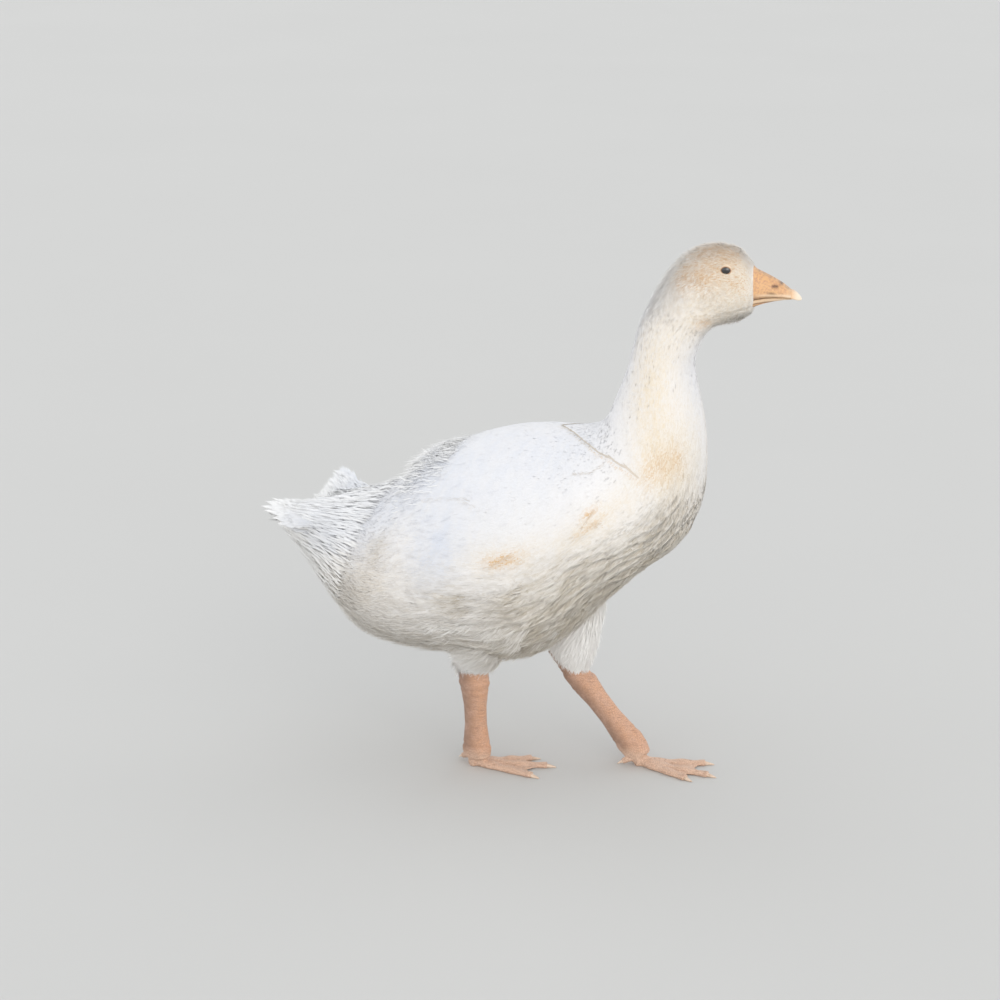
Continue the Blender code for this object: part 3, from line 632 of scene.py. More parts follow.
def plumage_material(name, grain_amount, root_shade, white=PLUMAGE_COLOURS["White"], tufted=True):
    """Plumage: the group's colour with a soft sheen. The skin under the tufts has no roots and no luck."""
    made, tree, shader = new_material(name, 0.9, sheen=0.12, specular=0.1)
    group = tree.nodes.new("ShaderNodeGroup")
    group.node_tree = plumage_group
    shades = (0.75, 0.10, 0.36) if tufted else (0, 0, 0)
    for title, value in (("White", white), ("Grain", grain_amount), ("Root shade", root_shade),
                         *zip(("Shag shade", "Luck", "Shag luck"), shades)):
        group.inputs[title].default_value = value
    tree.links.new(group.outputs["Color"], shader.inputs["Base Color"])
    return made


down_material = plumage_material("down", 0.06, 0.12)
# A whiter copy of the down with less root shade, painted light for the shaded thighs, tail and step.
painted_light_material = plumage_material("painted_light_down", 0.03, 0.04, LIT_WHITE)
skin_material = plumage_material("skin_down", 0.05, 0.0, tufted=False)
print("plumage materials:", down_material.name, skin_material.name)

# %% [markdown]
# ## The skin
# One closed skin runs from the tail to the bill with both thighs joined to it, so no seam shows between the
# parts. It could be sculpted, but an exact union of three lofts from the same tables keeps every size. It lies
# inside the outline by the coat's depth. A thigh's table gives level ovals from the body down to the hock, each
# by its middle and its two half widths; hock and ankle are where the bare leg begins and ends.

# %% Legs' measures
LEGS = {
    "right": dict(side=-1, ankle=(0, -18, 20), hock=(4, -37, 113), toe_out=-15.5, thigh=np.array([
        (38, -62, 205, 42, 34), (30, -56, 174, 39, 34), (20, -50, 156, 33.5, 29),
        (12, -43, 137, 27, 21), (3.5, -38, 124, 16.5, 13)], float) * MM),
    "left": dict(side=1, ankle=(157, 47, 26), hock=(91, 51, 100), toe_out=-8, thigh=np.array([
        (80, 64, 210, 42, 34), (83, 61, 184, 39, 34), (85, 57, 160, 35, 30),
        (88, 53, 132, 27, 22), (91.5, 51, 112, 17.5, 14)], float) * MM),
}


def thigh(leg, t, around, out=0.0):
    """The thigh's surface: level ovals along its middle line. t runs from 0 in the body to 4 at the hock."""
    t, around = np.broadcast_arrays(np.asarray(t, float), np.asarray(around, float))
    row = through(leg["thigh"], t)
    long, wide = row[..., 3] + out, row[..., 4] + out
    return np.stack([row[..., 0] + long * np.cos(around), row[..., 1] + wide * np.sin(around), row[..., 2]], -1)


def thigh_skin_out(t):
    """The thigh's skin lies inside the outline, least at the hock."""
    return -np.interp(t, [0, 2, 3.4, 4], [4.5, 5, 4, 2.5]) * MM


# %% The skin
def baked(made):
    """The object with its modifiers applied to its mesh."""
    graph = bpy.context.evaluated_depsgraph_get()
    mesh = bpy.data.meshes.new_from_object(made.evaluated_get(graph))
    made.modifiers.clear()
    made.data = mesh
    return made


s_grid, a_grid = np.linspace(-TAIL_ROWS, 23.55, 277)[:, None], circle(160)[None, :]
a_signed = np.where(a_grid > PI, a_grid - 2 * PI, a_grid)
skin_rings = body(s_grid, a_grid, skin_out(s_grid, a_signed))
skin = loft("skin", skin_rings, skin_material)
for name, leg in LEGS.items():
    t_grid = np.linspace(0, 4, 60)[:, None]
    rings = thigh(leg, t_grid, circle(72)[None, :], thigh_skin_out(t_grid))
    thigh_piece = loft("thigh_piece", rings, skin_material)
    join = skin.modifiers.new("join", "BOOLEAN")
    join.operation, join.object, join.solver = "UNION", thigh_piece, "EXACT"
    bpy.context.view_layer.update()
    baked(skin)
    bpy.data.objects.remove(thigh_piece)


def read_points(mesh, key="co"):
    """The mesh's points in the bird's own frame, or its normals."""
    flat = np.zeros(len(mesh.vertices) * 3, np.float32)
    mesh.vertices.foreach_get(key, flat)
    return flat.reshape(-1, 3).astype(float) + np.array([MIDDLE_X if key == "co" else 0, 0, 0])


def nearest(points, others, chunk=1500):
    """For each point, the number of the nearest of the others."""
    found = []
    square = (others ** 2).sum(1)
    for start in range(0, len(points), chunk):
        part = points[start:start + chunk]
        found.append(np.argmin(square[None, :] - 2 * part @ others.T, axis=1))
    return np.concatenate(found)


PROBE_ANGLES = np.linspace(-PI, PI, 64, endpoint=False)
probe_s, probe_a = np.meshgrid(np.linspace(-4, 24, 113), PROBE_ANGLES, indexing="ij")
probe_points = body(probe_s, probe_a).reshape(-1, 3)
probe_normals = (body(probe_s, probe_a, 1 * MM) - body(probe_s, probe_a)).reshape(-1, 3) / MM
probe_out = skin_out(probe_s, probe_a).ravel()


def over_body(points):
    """How far points stand over the body's own skin, and the number of the nearest body point."""
    match = nearest(points, probe_points)
    return ((points - probe_points[match]) * probe_normals[match]).sum(1) - probe_out[match], match


def over_thigh(points, leg):
    """About how far points stand over a thigh's skin, level with its middle line."""
    t = np.interp(-points[:, 2], -leg["thigh"][:, 2], np.arange(5.0))
    row = through(leg["thigh"], t)
    x, y = (points[:, 0] - row[:, 0]) / (row[:, 3] - 5 * MM), (points[:, 1] - row[:, 1]) / (row[:, 4] - 5 * MM)
    return (np.hypot(x, y) - 1) * row[:, 4] + 1.0 * (points[:, 2] > leg["thigh"][0, 2])


# The joint between body and thigh is rounded off by smoothing the points near both surfaces, in ten steps of
# strength, because a vertex group takes one number for many points at once.
JOINT_REACH = 20 * MM
points = read_points(skin.data)
near_body = ease(1 - over_body(points)[0] / JOINT_REACH)
joint = np.zeros(len(points))
for leg in LEGS.values():
    joint = np.maximum(joint, near_body * ease(1 - np.abs(over_thigh(points, leg)) / JOINT_REACH))
group = skin.vertex_groups.new(name="joint")
for level in np.linspace(0.1, 1, 10):
    chosen = np.nonzero(np.abs(joint - level) <= 0.05)[0]
    group.add(chosen.tolist(), float(level), "REPLACE")
round_off = skin.modifiers.new("round_off", "SMOOTH")
round_off.factor, round_off.iterations, round_off.vertex_group = 0.6, 60, "joint"
bpy.context.view_layer.update()
baked(skin)
match = over_body(read_points(skin.data))[1]
keep_numbers(skin.data, markings(probe_s.ravel()[match], probe_a.ravel()[match]))
skin.data.shade_smooth()
ride(skin, "cream_down", "torso", "neck_lower", "neck_upper", "head", "thigh_right", "thigh_left")
print("skin points:", len(skin.data.vertices))

# %% The skin as tables
rows, columns = np.linspace(-TAIL_ROWS, LAST, 561)[:, None], np.linspace(-PI, PI, 361)[None, :]
SKIN_POINTS = body(rows, columns, skin_out(rows, columns))
SKIN_AWAY = (body(rows, columns, 1 * MM) - body(rows, columns)) / MM
SKIN_NORMALS = unit(np.cross(np.gradient(SKIN_POINTS, axis=0), np.gradient(SKIN_POINTS, axis=1)))


def looked_up(table, s, a):
    """The table's values at (s, around), blended from the four nearest entries."""
    x = np.clip((s + TAIL_ROWS) / (LAST + TAIL_ROWS) * (len(table) - 1), 0, len(table) - 1.001)
    y = np.mod(a + PI, 2 * PI) / (2 * PI) * (table.shape[1] - 1)
    i, j = x.astype(int), np.minimum(y.astype(int), table.shape[1] - 2)
    f, g = (x - i)[..., None], (y - j)[..., None]
    low = table[i, j] * (1 - g) + table[i, j + 1] * g
    return low * (1 - f) + (table[i + 1, j] * (1 - g) + table[i + 1, j + 1] * g) * f


print("tables:", SKIN_POINTS.shape)

# %% [markdown]
# ## Tufts
# A tuft is a thin closed lock: a point at the root, a flat three-cornered middle and a point at the tip, five
# points and six faces. Its root sinks into the skin, and its middle and tip follow the surface further along
# the lie, so that it hugs the bird. Roots are spread evenly by dividing the surface into small cells and
# placing about the same number on each square millimetre.
#
# Light scatters in down as in a soft mass, so a tuft takes the skin's normal, not its own. Its underside gets
# the opposite normal: with the skin's, it would turn black wherever it shows.

# %% Tufts
def scattered(s_range, a_range, per_mm2, rng):
    """Roots (s, around) spread evenly over the body, off the eyes.

    Each small cell's area times the wanted number gives its share, rounded up or down by chance.
    """
    cells = (int(260 * max(0.2, (s_range[1] - s_range[0]) / 8)), 260)
    s_edges, a_edges = np.linspace(*s_range, cells[0] + 1), np.linspace(*a_range, cells[1] + 1)
    grid = body(s_edges[:, None], a_edges[None, :])
    one, two = grid[1:, :-1] - grid[:-1, :-1], grid[:-1, 1:] - grid[:-1, :-1]
    area = np.linalg.norm(np.cross(one, two), axis=-1) / MM ** 2
    middles = np.meshgrid((s_edges[1:] + s_edges[:-1]) / 2, (a_edges[1:] + a_edges[:-1]) / 2, indexing="ij")
    share = area * (per_mm2(*middles) if callable(per_mm2) else per_mm2)
    count = np.floor(share + rng.uniform(size=share.shape)).astype(int).ravel()
    i = np.repeat(np.arange(count.size), count)
    s = s_edges[i // cells[1]] + rng.uniform(size=len(i)) * (s_edges[1] - s_edges[0])
    a = a_edges[i % cells[1]] + rng.uniform(size=len(i)) * (a_edges[1] - a_edges[0])
    free = off_eye(s, a)
    return s[free], a[free]


TUFT_FACES = np.array([(2, 1, 0), (3, 2, 0), (1, 3, 0), (1, 2, 4), (2, 3, 4), (3, 1, 4)])
TUFT_SIDES = np.array([1, 1, -1, 1, 1, -1])[:, None, None]
TUFT_TIPNESS = [0, 0.5, 0.6, 0.5, 1.0]
PATCH = np.array([(0, -1), (1, 0), (0, 0), (-1, 0), (0, 1)]) * 0.0015
ROOT_DEPTH, MIDDLE_AT = 0.5 * MM, 0.4


def tuft_arrays(root, middle, tip, normals, width, ridge, roll, lean):
    """Points of the locks and their normals: the root, the middle's right, upper and left corner, then the tip.

    Across is normal times lie, turned about the lie by the roll; the upper corner stands out by the ridge. The
    normals are the skin's, with the side corners leaning outwards a little.
    """
    lie = unit(tip - root)
    across = unit(np.cross(normals[1], lie))
    up = np.cross(lie, across)
    c, s = np.cos(roll)[:, None], np.sin(roll)[:, None]
    across, up = across * c + up * s, up * c - across * s
    half, ridge, lean = (width / 2)[:, None], ridge[:, None], lean[:, None]
    corners = [root, middle + across * half, middle + up * ridge, middle - across * half, tip]
    soft = [normals[0], normals[1] + across * lean, normals[1], normals[1] - across * lean, normals[2]]
    return np.stack(corners, 1), np.stack(soft, 1)


def coat_piece(name, batches, surface):
    """One joined mesh of tufts from batches of (points and normals, uv of roots, numbers per root)."""
    points, normals = (np.concatenate([b[0][k] for b in batches]) for k in (0, 1))
    roots = np.concatenate([b[1] for b in batches])
    count = len(points)
    faces = (np.arange(count)[:, None, None] * 5 + TUFT_FACES[None]).reshape(-1, 3)
    uv = (roots[:, None, :] + PATCH[None]).reshape(-1, 2)
    numbers = {key: np.repeat(np.concatenate([b[2][key] for b in batches]), 5) for key in batches[0][2]}
    numbers["tip"] = np.tile(TUFT_TIPNESS, count)
    made = put(name, points, [faces], surface, numbers, uv, normals=normals[:, TUFT_FACES] * TUFT_SIDES)
    print(name, "tufts:", count, "faces:", count * 6)
    return made


def body_tufts(s, a, rng, length, width, lift, wild=0.0, way=None):
    """Tufts on the body. They point to the tail, bent by soft random hills, and their tips stand off by lift.

    The shaggier the coat, the more they wander and roll; wild adds to that.
    """
    along, around_span = spans(s)
    shaggy = np.clip(blobs(s, a, FLUFFY) + 0.5 * ease((s - 17.5) / 2.5), 0, 1)
    wander = 0.07 + 0.16 * (shaggy + wild)
    bends = 1.6 * hills(s * 2.5, a * 16 / PI, 32, 41) + rng.normal(size=len(s))
    way = (PI if way is None else way) + wander * bends
    long, wide = length * rng.uniform(0.72, 1.28, len(s)), width * rng.uniform(0.8, 1.2, len(s))
    high = lift * (1.03 - (0.16 + 0.34 * shaggy) * rng.uniform(0, 1, len(s)))

    def place(t):
        return np.clip(s + np.cos(way) * long * t / along, -TAIL_ROWS, LAST), a + np.sin(way) * long * t / around_span

    def at(t, out):
        return looked_up(SKIN_POINTS, *place(t)) + looked_up(SKIN_AWAY, *place(t)) * (out + 0 * s)[:, None]

    normals = [looked_up(SKIN_NORMALS, *place(t)) for t in (0, MIDDLE_AT, 1.0)]
    ridge = wide * (0.07 + 0.12 * shaggy)
    roll = (0.03 + 0.07 * shaggy) * rng.normal(size=len(s))
    root, middle = at(0, -ROOT_DEPTH), at(MIDDLE_AT, (0.93 - 0.22 * shaggy) * high)
    tip = at(1.0, high * (0.85 + 0.15 * shaggy))
    points = tuft_arrays(root, middle, tip, normals, wide, ridge, roll, 0.12 + 0.35 * shaggy)
    return points, unwrapped(s, a), tuft_numbers(s, a, rng)


def tuft_numbers(s, a, rng):
    """The markings for tufts, where single tufts differ, and each tuft's luck."""
    numbers = markings(s, a)
    luck = rng.uniform(size=len(s))
    for key, spread in (("rust", 1.8), ("soil", 0.9), ("cream", 0.6)):
        numbers[key] = np.clip(numbers[key] * (1 + spread * (luck ** 1.5 - 0.4)), 0, 1)
    freckled = 0.15 * ease((s - 18.5) / 2) + 0.85 * blobs(s, a, FRECKLES)
    numbers["rust"] = np.clip(numbers["rust"] + freckled * (luck > 0.83), 0, 1)
    numbers["luck"] = luck
    return numbers


def unwrapped(s, a):
    """The place of (s, around) on the flat unwrap of the skin: s runs across it and around runs up."""
    return np.stack([0.02 + 0.96 * (s + 5) / 29.5, 0.5 + 0.47 * a / PI], -1)


# %% [markdown]
# ## The coat, region by region
# Back and flanks carry smooth dense down, the rump and the belly are fluffier, and the head's down is as short
# as velvet. Each region is one mesh of thousands of tufts with its own length, width and lift. A second batch
# in each mesh holds the loose tufts that stand out of the coat, so that its outline is fuzzy.

# %% The coat
EYE = (256 * MM, 20.3 * MM, 569.3 * MM)
LONG_STEP, HIGH_STEP = ((3.05, 6, 0.5, 26, 1.0),), ((3.05, 6, 0.4, 24, 1.0),)


def off_eye(s, a):
    """True away from the eye's opening, and behind the bill's base."""
    keep = s < 23.6
    for part in (0, 0.5, 1):
        there = straight_body(s - part * lengths(s, a) / spans(s)[0], a)
        keep &= np.hypot((there[..., 0] - EYE[0]) / (5.2 * MM), (there[..., 2] - EYE[2]) / (4.1 * MM)) > 1
    return keep


def lengths(s, a):
    """The tufts' length over the body: longest on rump and belly, shortest on the face."""
    stops = [-4, 0, 3, 6, 10, 13, 16, 18, 20, 22, 23, 24]
    plain = np.interp(s, stops, [18, 16, 15, 14, 13, 12, 10, 8, 6.0, 4.6, 3.6, 2.4])
    fluffier = 1 + 0.35 * blobs(s, a, FLUFFY) * ease((17 - s) / 2)
    return (plain * fluffier + 5 * blobs(s, a, LONG_STEP)) * MM


def lifts(s, a):
    """How far tips stand off: nearly the coat's depth, and more at the step behind the wings."""
    share = np.interp(s, [-4, 4, 14, 24], [1.0, 0.95, 1.0, 0.95])
    return depth(s, a) * share + 5 * MM * blobs(s, a, HIGH_STEP)


def widths(s, a):
    """The tufts' width: wide on the smooth back, narrow on the face, and narrower where the coat is shaggy."""
    plain = np.interp(s, [0, 4, 9, 12, 16, 20, 22, 24], [2.0, 2.5, 2.5, 1.9, 1.4, 0.9, 0.7, 0.5])
    return plain * MM * (1 - 0.45 * np.maximum(blobs(s, a, FLUFFY), furrows(s, a)[1]))


def stray_lifts(s, a):
    """How much further than the coat loose tufts stand off: most where the coat is shaggy."""
    plain = np.interp(s, [-4, 3, 10, 17, 21, 23, 24], [8.0, 6.5, 2.2, 5.6, 5.2, 2.8, 0.8])
    return plain * MM * (0.25 + 0.75 * blobs(s, a, FLUFFY))


def stray_count(s, a):
    """Loose tufts for each square millimetre: many on crown, nape and chin, some on the rump."""
    return (0.16 + 1.5 * ease((s - 16) / 2)) * blobs(s, a, FLUFFY) + 0.35 * ease((s - 16.5) / 3)


# Each region has its name, its span of s, its span of angles and its tufts for each square millimetre.
REGIONS = (
    ("coat_rump_right", (-4.0, 3.0), (-PI, 0), 0.36),
    ("coat_rump_left", (-4.0, 3.0), (0, PI), 0.28),
    ("coat_back", (3.0, 11.0), (-0.75, 0.75), 0.50),
    ("coat_flank_right", (3.0, 11.0), (-1.75, -0.75), 0.56),
    ("coat_flank_left", (3.0, 11.0), (0.75, 1.75), 0.40),
    ("coat_belly_right", (3.0, 11.0), (-PI, -1.75), 0.38),
    ("coat_belly_left", (3.0, 11.0), (1.75, PI), 0.27),
    ("coat_neck_right", (11.0, 17.5), (-PI, 0), 0.76),
    ("coat_neck_left", (11.0, 17.5), (0, PI), 0.50),
    ("coat_head_right", (17.5, 23.6), (-PI, 0), 1.75),
    ("coat_head_left", (17.5, 23.6), (0, PI), 1.15),
)
for number, (name, s_range, a_range, amount) in enumerate(REGIONS):
    rng = np.random.default_rng(100 + number)
    s, a = scattered(s_range, a_range, amount, rng)
    smooth_coat = body_tufts(s, a, rng, lengths(s, a), widths(s, a), lifts(s, a))
    s, a = scattered(s_range, a_range, stray_count, rng)
    stray_width = np.interp(s, [4, 9, 16], [0.9, 0.5, 0.45]) * MM
    high = lifts(s, a) + stray_lifts(s, a) * rng.uniform(0.2, 1, len(s))
    loose = body_tufts(s, a, rng, lengths(s, a) * 1.1, stray_width, high, wild=0.8)
    loose[2]["soil"] = np.clip(loose[2]["soil"] + 0.06 * ease((s - 17) / 2), 0, 1)
    piece = coat_piece(name, [smooth_coat, loose], down_material)
    wing = ("wing_" + name[11:],) if "flank" in name else ()
    ride(piece, "plumage" if number < 7 else "cream_down", *wing)

# %% [markdown]
# ## Dark strokes
# The wing's front edge, the jaw's line and a few parted places show as thin dark hairs: painted shade for the
# grooves there, since a groove alone would be bridged by the long tufts around it. A few short lines carry the
# bird's own rusty spots instead. They are tufts like the others, but narrow, laid along a line on top of the
# coat, and darker. Each line has its points (s, degrees), its number of hairs, their spread in mm, and the
# soiling with painted shade and the rust at its two ends.

# %% Dark strokes
# The dark of these hairs is painted shade in the grooves; their rust is the bird's own colour.
STROKES = (
    (WING_EDGE, 1400, 0.38, (1.0, 0.35), (0.0, 0.35)),
    (CREASES[0], 40, 1.2, (0.45, 0.30), (0, 0)),
    (CREASES[1], 60, 1.0, (0.40, 0.35), (0.1, 0.1)),
    (CREASES[2], 90, 0.9, (0.30, 0.45), (0.1, 0.3)),
    ([(1.25, 84), (1.45, 93)], 10, 0.8, (0.8, 0.8), (0, 0)),
    ([(8.35, 88), (8.95, 82)], 26, 1.0, (0.35, 0.35), (0.7, 0.7)),
    ([(8.6, 90), (9.1, 95)], 20, 2.0, (0.25, 0.25), (0.6, 0.6)),
    ([(5.55, 86), (6.15, 83)], 30, 1.6, (0.30, 0.30), (0.75, 0.75)),
    ([(18.6, 131), (17.9, 128)], 40, 2.5, (0.2, 0.2), (0.5, 0.5)),
)


def strokes(rng):
    """Thin locks along each line, on both sides of the bird. Their tones run from the line's start to its end."""
    batches = []
    for line, count, spread, soil, rust in STROKES:
        line = np.array(line, float)
        for side in (-1, 1):
            k = rng.uniform(0, len(line) - 1, count)
            piece = np.minimum(k.astype(int), len(line) - 2)
            step = line[piece + 1] - line[piece]
            place = line[piece] + step * (k - piece)[:, None]
            along, turn = spans(place[:, 0])
            way = np.arctan2(np.radians(step[:, 1]) * side * turn, step[:, 0] * along)
            way = np.where(np.cos(way) > 0, way + PI, way)
            s = place[:, 0] + spread * MM * rng.normal(size=count) / along
            a = np.radians(place[:, 1]) * side + spread * MM * rng.normal(size=count) / turn
            high = lifts(s, a) + 0.3 * MM * rng.uniform(0.7, 2, count)
            points, uv, numbers = body_tufts(s, a, rng, lengths(s, a) * 0.6, 0.6 * MM + 0 * s, high, way=way)
            tone = k / (len(line) - 1)
            for key, ends, least in (("soil", soil, 0.7), ("rust", rust, 0.5)):
                numbers[key] = (ends[0] + (ends[1] - ends[0]) * tone) * rng.uniform(least, 1, count)
            batches.append((points, uv, numbers))
    return batches


ride(coat_piece("coat_strokes", strokes(np.random.default_rng(150)), down_material), "plumage")

# %% [markdown]
# ## Thighs
# Shaggy down falls from the belly over the thighs and ends in loose tips over the hock. Here the roots are
# spread over the triangles of the joined skin itself, wherever it stands off the body. Their way turns from the
# body's lie at the joint to straight down at the hock, so that each thigh grows out of the belly.

# %% Thighs
def mesh_roots(mesh, wanted, per_mm2, rng):
    """Random places on the mesh's triangles whose three points are all wanted, with their smooth normals."""
    mesh.calc_loop_triangles()
    corners = np.zeros(len(mesh.loop_triangles) * 3, np.int32)
    mesh.loop_triangles.foreach_get("vertices", corners)
    corners = corners.reshape(-1, 3)
    corners = corners[wanted[corners].all(1)]
    points, normals = read_points(mesh), read_points(mesh, "normal")
    a, b, c = (points[corners[:, k]] for k in range(3))
    area = np.linalg.norm(np.cross(b - a, c - a), axis=1) / 2 / MM ** 2
    count = np.floor(area * per_mm2 + rng.uniform(size=len(area))).astype(int)
    corners = np.repeat(corners, count, axis=0)
    share = rng.uniform(size=(len(corners), 3)) ** 1.5
    share /= share.sum(1, keepdims=True)
    return (points[corners] * share[..., None]).sum(1), unit((normals[corners] * share[..., None]).sum(1))


def loose_tufts(root, middle, tip, normal, width, rng, lean, roll, blue=0.0, clean=0.0, shag=0.0, soft=None):
    """Tufts given by their three points and normal. Colours and unwrap come from the nearest body point.

    The painted bluish shade is added to the body's own number, and clean takes soiling and painted shade
    away. Every tuft takes full painted light. Where soft is given, it shades the tufts instead of the normal
    that they lie flat on.
    """
    match = nearest(root, probe_points)
    s, a = probe_s.ravel()[match], probe_a.ravel()[match]
    numbers = tuft_numbers(s, a, rng)
    numbers["blue"] = np.clip(numbers["blue"] + blue, 0, 1)
    numbers["soil"] *= 1 - clean
    numbers["shag"] = np.full(len(s), shag)
    # Every loose tuft takes full painted light.
    numbers["painted_light"] = np.ones(len(s))
    rolls = roll * rng.normal(size=len(root))
    points, normals = tuft_arrays(root, middle, tip, [normal] * 3, width, width * 0.5 * roll, rolls, lean + 0 * width)
    if soft is not None:
        normals = normals + (soft - normal)[:, None]
    return (points, normals), unwrapped(s, a), numbers


def thigh_tufts(leg, per_mm2, rng, loose=0.0):
    """Down on one thigh and round its root, but not on level ground above it. Loose tufts stand off further."""
    side = leg["side"]
    points = read_points(skin.data)
    wanted = (over_body(points)[0] > 0.4 * MM) & (points[:, 1] * side > 0) & (points[:, 2] < 250 * MM)
    wanted &= np.abs(over_thigh(points, leg)) < 45 * MM
    root, normal = mesh_roots(skin.data, wanted, per_mm2, rng)
    steep = normal[:, 2] < 0.25
    root, normal = root[steep], normal[steep]
    height, match = over_body(root)
    tailward = unit(-np.gradient(probe_points.reshape(*probe_s.shape, 3), axis=0).reshape(-1, 3)[match])
    turn = ease(height / (26 * MM))[:, None]
    way = tailward * (1 - turn) * 0.8 + np.array([-0.12, 0, -1.0]) * (0.35 + 0.65 * turn)
    bends = 0.35 * hills(root[:, 0] / (9 * MM), root[:, 2] / (12 * MM), 60, 51)[:, None]
    way = way + 0.20 * rng.normal(size=way.shape) + bends * np.array([0.8, 0.5 * side, 0])
    way = unit(way - normal * (way * normal).sum(1, keepdims=True))
    low = ease((leg["thigh"][-1, 2] + 24 * MM - root[:, 2]) / (22 * MM))
    long = (20 - 6 * low) * MM * rng.uniform(0.6, 1.3, len(root))
    high = (5.2 - 2.2 * low) * MM * rng.uniform(0.4, 1.0, len(root)) + loose * rng.uniform(0.2, 1.0, len(root))
    high, reach = high[:, None], way * long[:, None]
    points = root - normal * ROOT_DEPTH, root + reach * 0.5 + normal * high * 0.8, root + reach + normal * high
    points[2][:, 2] -= long * 0.10
    width = (0.5 if loose else 1.15) * MM * rng.uniform(0.8, 1.2, len(root))
    clean = 0.45 + 0.5 * ease(height / (14 * MM))
    return loose_tufts(*points, normal, width, rng, lean=0.45, roll=0.25, clean=clean, shag=0.22)


for number, (name, leg) in enumerate(LEGS.items()):
    rng = np.random.default_rng(200 + number)
    batches = [thigh_tufts(leg, 1.0, rng), thigh_tufts(leg, 0.08, rng, 3 * MM)]
    ride(coat_piece("coat_thigh_" + name, batches, painted_light_material), "plumage")

# %% [markdown]
# ## Tail feathers
# The first true feathers of a gosling's tail are short and soft, in a fan that is rolled down on the right and
# up on the left. Each is a thin vane about a quill: a closed leaf, arched across, tilted over its neighbour
# and rounded at the tip. Three tiers overlap: the long feathers, the coverts above and those below. Over them
# lies down: on the fan itself, in a wedge from the rump to the fan, on both faces of the raised left lobe, and
# in clumps that stand up where the smooth back ends.

# %% Tail feathers
FAN_ROOT = np.array([-164, 9, 268]) * MM
FAN_TIPS = np.array([(-221, -48, 267), (-250, -24, 281), (-202, 14, 269), (-197, 42, 281), (-194, 64, 298)]) * MM
TAIL_TIERS = (
    dict(count=16, start=0.10, reach=1.00, half=8 * MM, lift=0.0, tilt=0.06),
    dict(count=15, start=0.02, reach=0.70, half=8.5 * MM, lift=2.5 * MM, tilt=0.05),
    dict(count=11, start=0.14, reach=0.80, half=8.5 * MM, lift=-6 * MM, tilt=0.03),
)


def vane(middle, across, up, half, tilt, camber=0.12, thick=0.45 * MM):
    """A feather's leaf: rings of a flat lens along its middle line.

    The half width swells from the root, stays, and closes in a round tip; across the leaf the rise is the
    tilt times the side, less the camber times the square of the side.
    """
    rows = len(middle)
    t = np.linspace(0, 1, rows)[:, None]
    width = half * (0.35 + 0.65 * ease(t * 2.2)) * np.sqrt(np.clip(1 - ease((t - 0.62) / 0.38) ** 2, 0.004, 1))
    side = np.array([-1, -0.5, 0, 0.5, 1, 0.5, 0, -0.5])[None, :]
    face = np.array([0, 1, 1.5, 1, 0, -1, -1.2, -1])[None, :]
    rise = width * (tilt * side - camber * side ** 2) + face * thick / 2 * (1 - 0.5 * t)
    return middle[:, None, :] + across[:, None, :] * (width * side)[..., None] + up[:, None, :] * rise[..., None]


def tail_frame(v, jitter=0.0):
    """A tail feather's root, the way and reach to its tip, and the directions over and across its leaf.

    v runs from -1 at the right corner of the fan to 1 at the left one.
    """
    left, aside = max(v, 0) ** 2, abs(v)
    root = FAN_ROOT + np.array([16 * left - 2 * aside, 30 * v, 3 * v - 2 * aside + 5 * left]) * MM
    reach = through(FAN_TIPS, 2 + 2 * v) + jitter - root
    over = unit([-0.10, -0.65 * aside, 1.0])
    return root, reach, over, unit(np.cross(reach, over))


def tail_line(tier, root, reach, over, t):
    """Places along a tier's feather: straight from root to tip, with a slight arch."""
    return root + reach * t + over * (tier["lift"] + 5 * MM * t * (1 - t))


def narrowed(v, right, left):
    """How much narrower the fan's feathers get towards its two corners."""
    return 1 - right * max(-v, 0) ** 0.7 - left * max(v, 0) ** 2


def tail_feathers(rng):
    """All the rings of the tail's feathers, from the right corner to the left one in each tier."""
    found = []
    for tier in TAIL_TIERS:
        for v in np.linspace(-1, 1, tier["count"]):
            root, reach, over, across = tail_frame(v, rng.normal(size=3) * 1.2 * MM)
            t = tier["start"] + (tier["reach"] - tier["start"]) * np.linspace(0, 1, 14)[:, None]
            line = tail_line(tier, root, reach, over, t)
            across = across if v < 0 else -across
            half = tier["half"] * narrowed(v, 0.42, 0.35)
            found.append(vane(line, np.tile(across, (14, 1)), np.tile(over, (14, 1)), half, tier["tilt"]))
    return found


def tail_down(rng, count=240):
    """Down that covers the tail's feathers, except their tips, above and below: this many tufts on each."""
    parts = []
    for tier in TAIL_TIERS:
        face = 1.0 if tier["lift"] > -MM else -1.0
        for v in np.linspace(-1, 1, tier["count"]):
            root, reach, over, across = tail_frame(v)
            way = unit(reach)
            t = (rng.uniform(0, 0.76 if v < 0 else 0.86, count) ** 0.85 * tier["reach"])[:, None]
            aside = rng.uniform(-1, 1, count)[:, None] * tier["half"] * 1.3 * narrowed(v, 0.5, 0.45)
            high = rng.uniform(1.4, 2.6, count)[:, None] * MM * (1 - 0.6 * t) * (1.0 if face > 0 else 2.0)
            long = rng.uniform(13, 20, count)[:, None] * MM * (1 - 0.35 * t)
            place = tail_line(tier, root, reach, over, t) + across * aside
            drift = across * (aside * 0.25 + rng.normal(size=count)[:, None] * 1.5 * MM)
            edge = np.array([0, -1.2 * min(v, 0) ** 2, 0])
            parts.append((
                place + over * face * 0.2 * MM,
                place + way * long * 0.45 + over * face * high * 0.8 + drift * 0.4,
                place + way * long + over * face * high + drift,
                over * face * (1 - 0.5 * v * v) + edge + across * aside / tier["half"] * 0.1,
            ))
    root, middle, tip, normal = (np.concatenate(part) for part in zip(*parts))
    width = rng.uniform(1.1, 1.9, len(root)) * MM
    return loose_tufts(root, middle, tip, unit(normal), width, rng, lean=0.1, roll=0.06, blue=0.1)


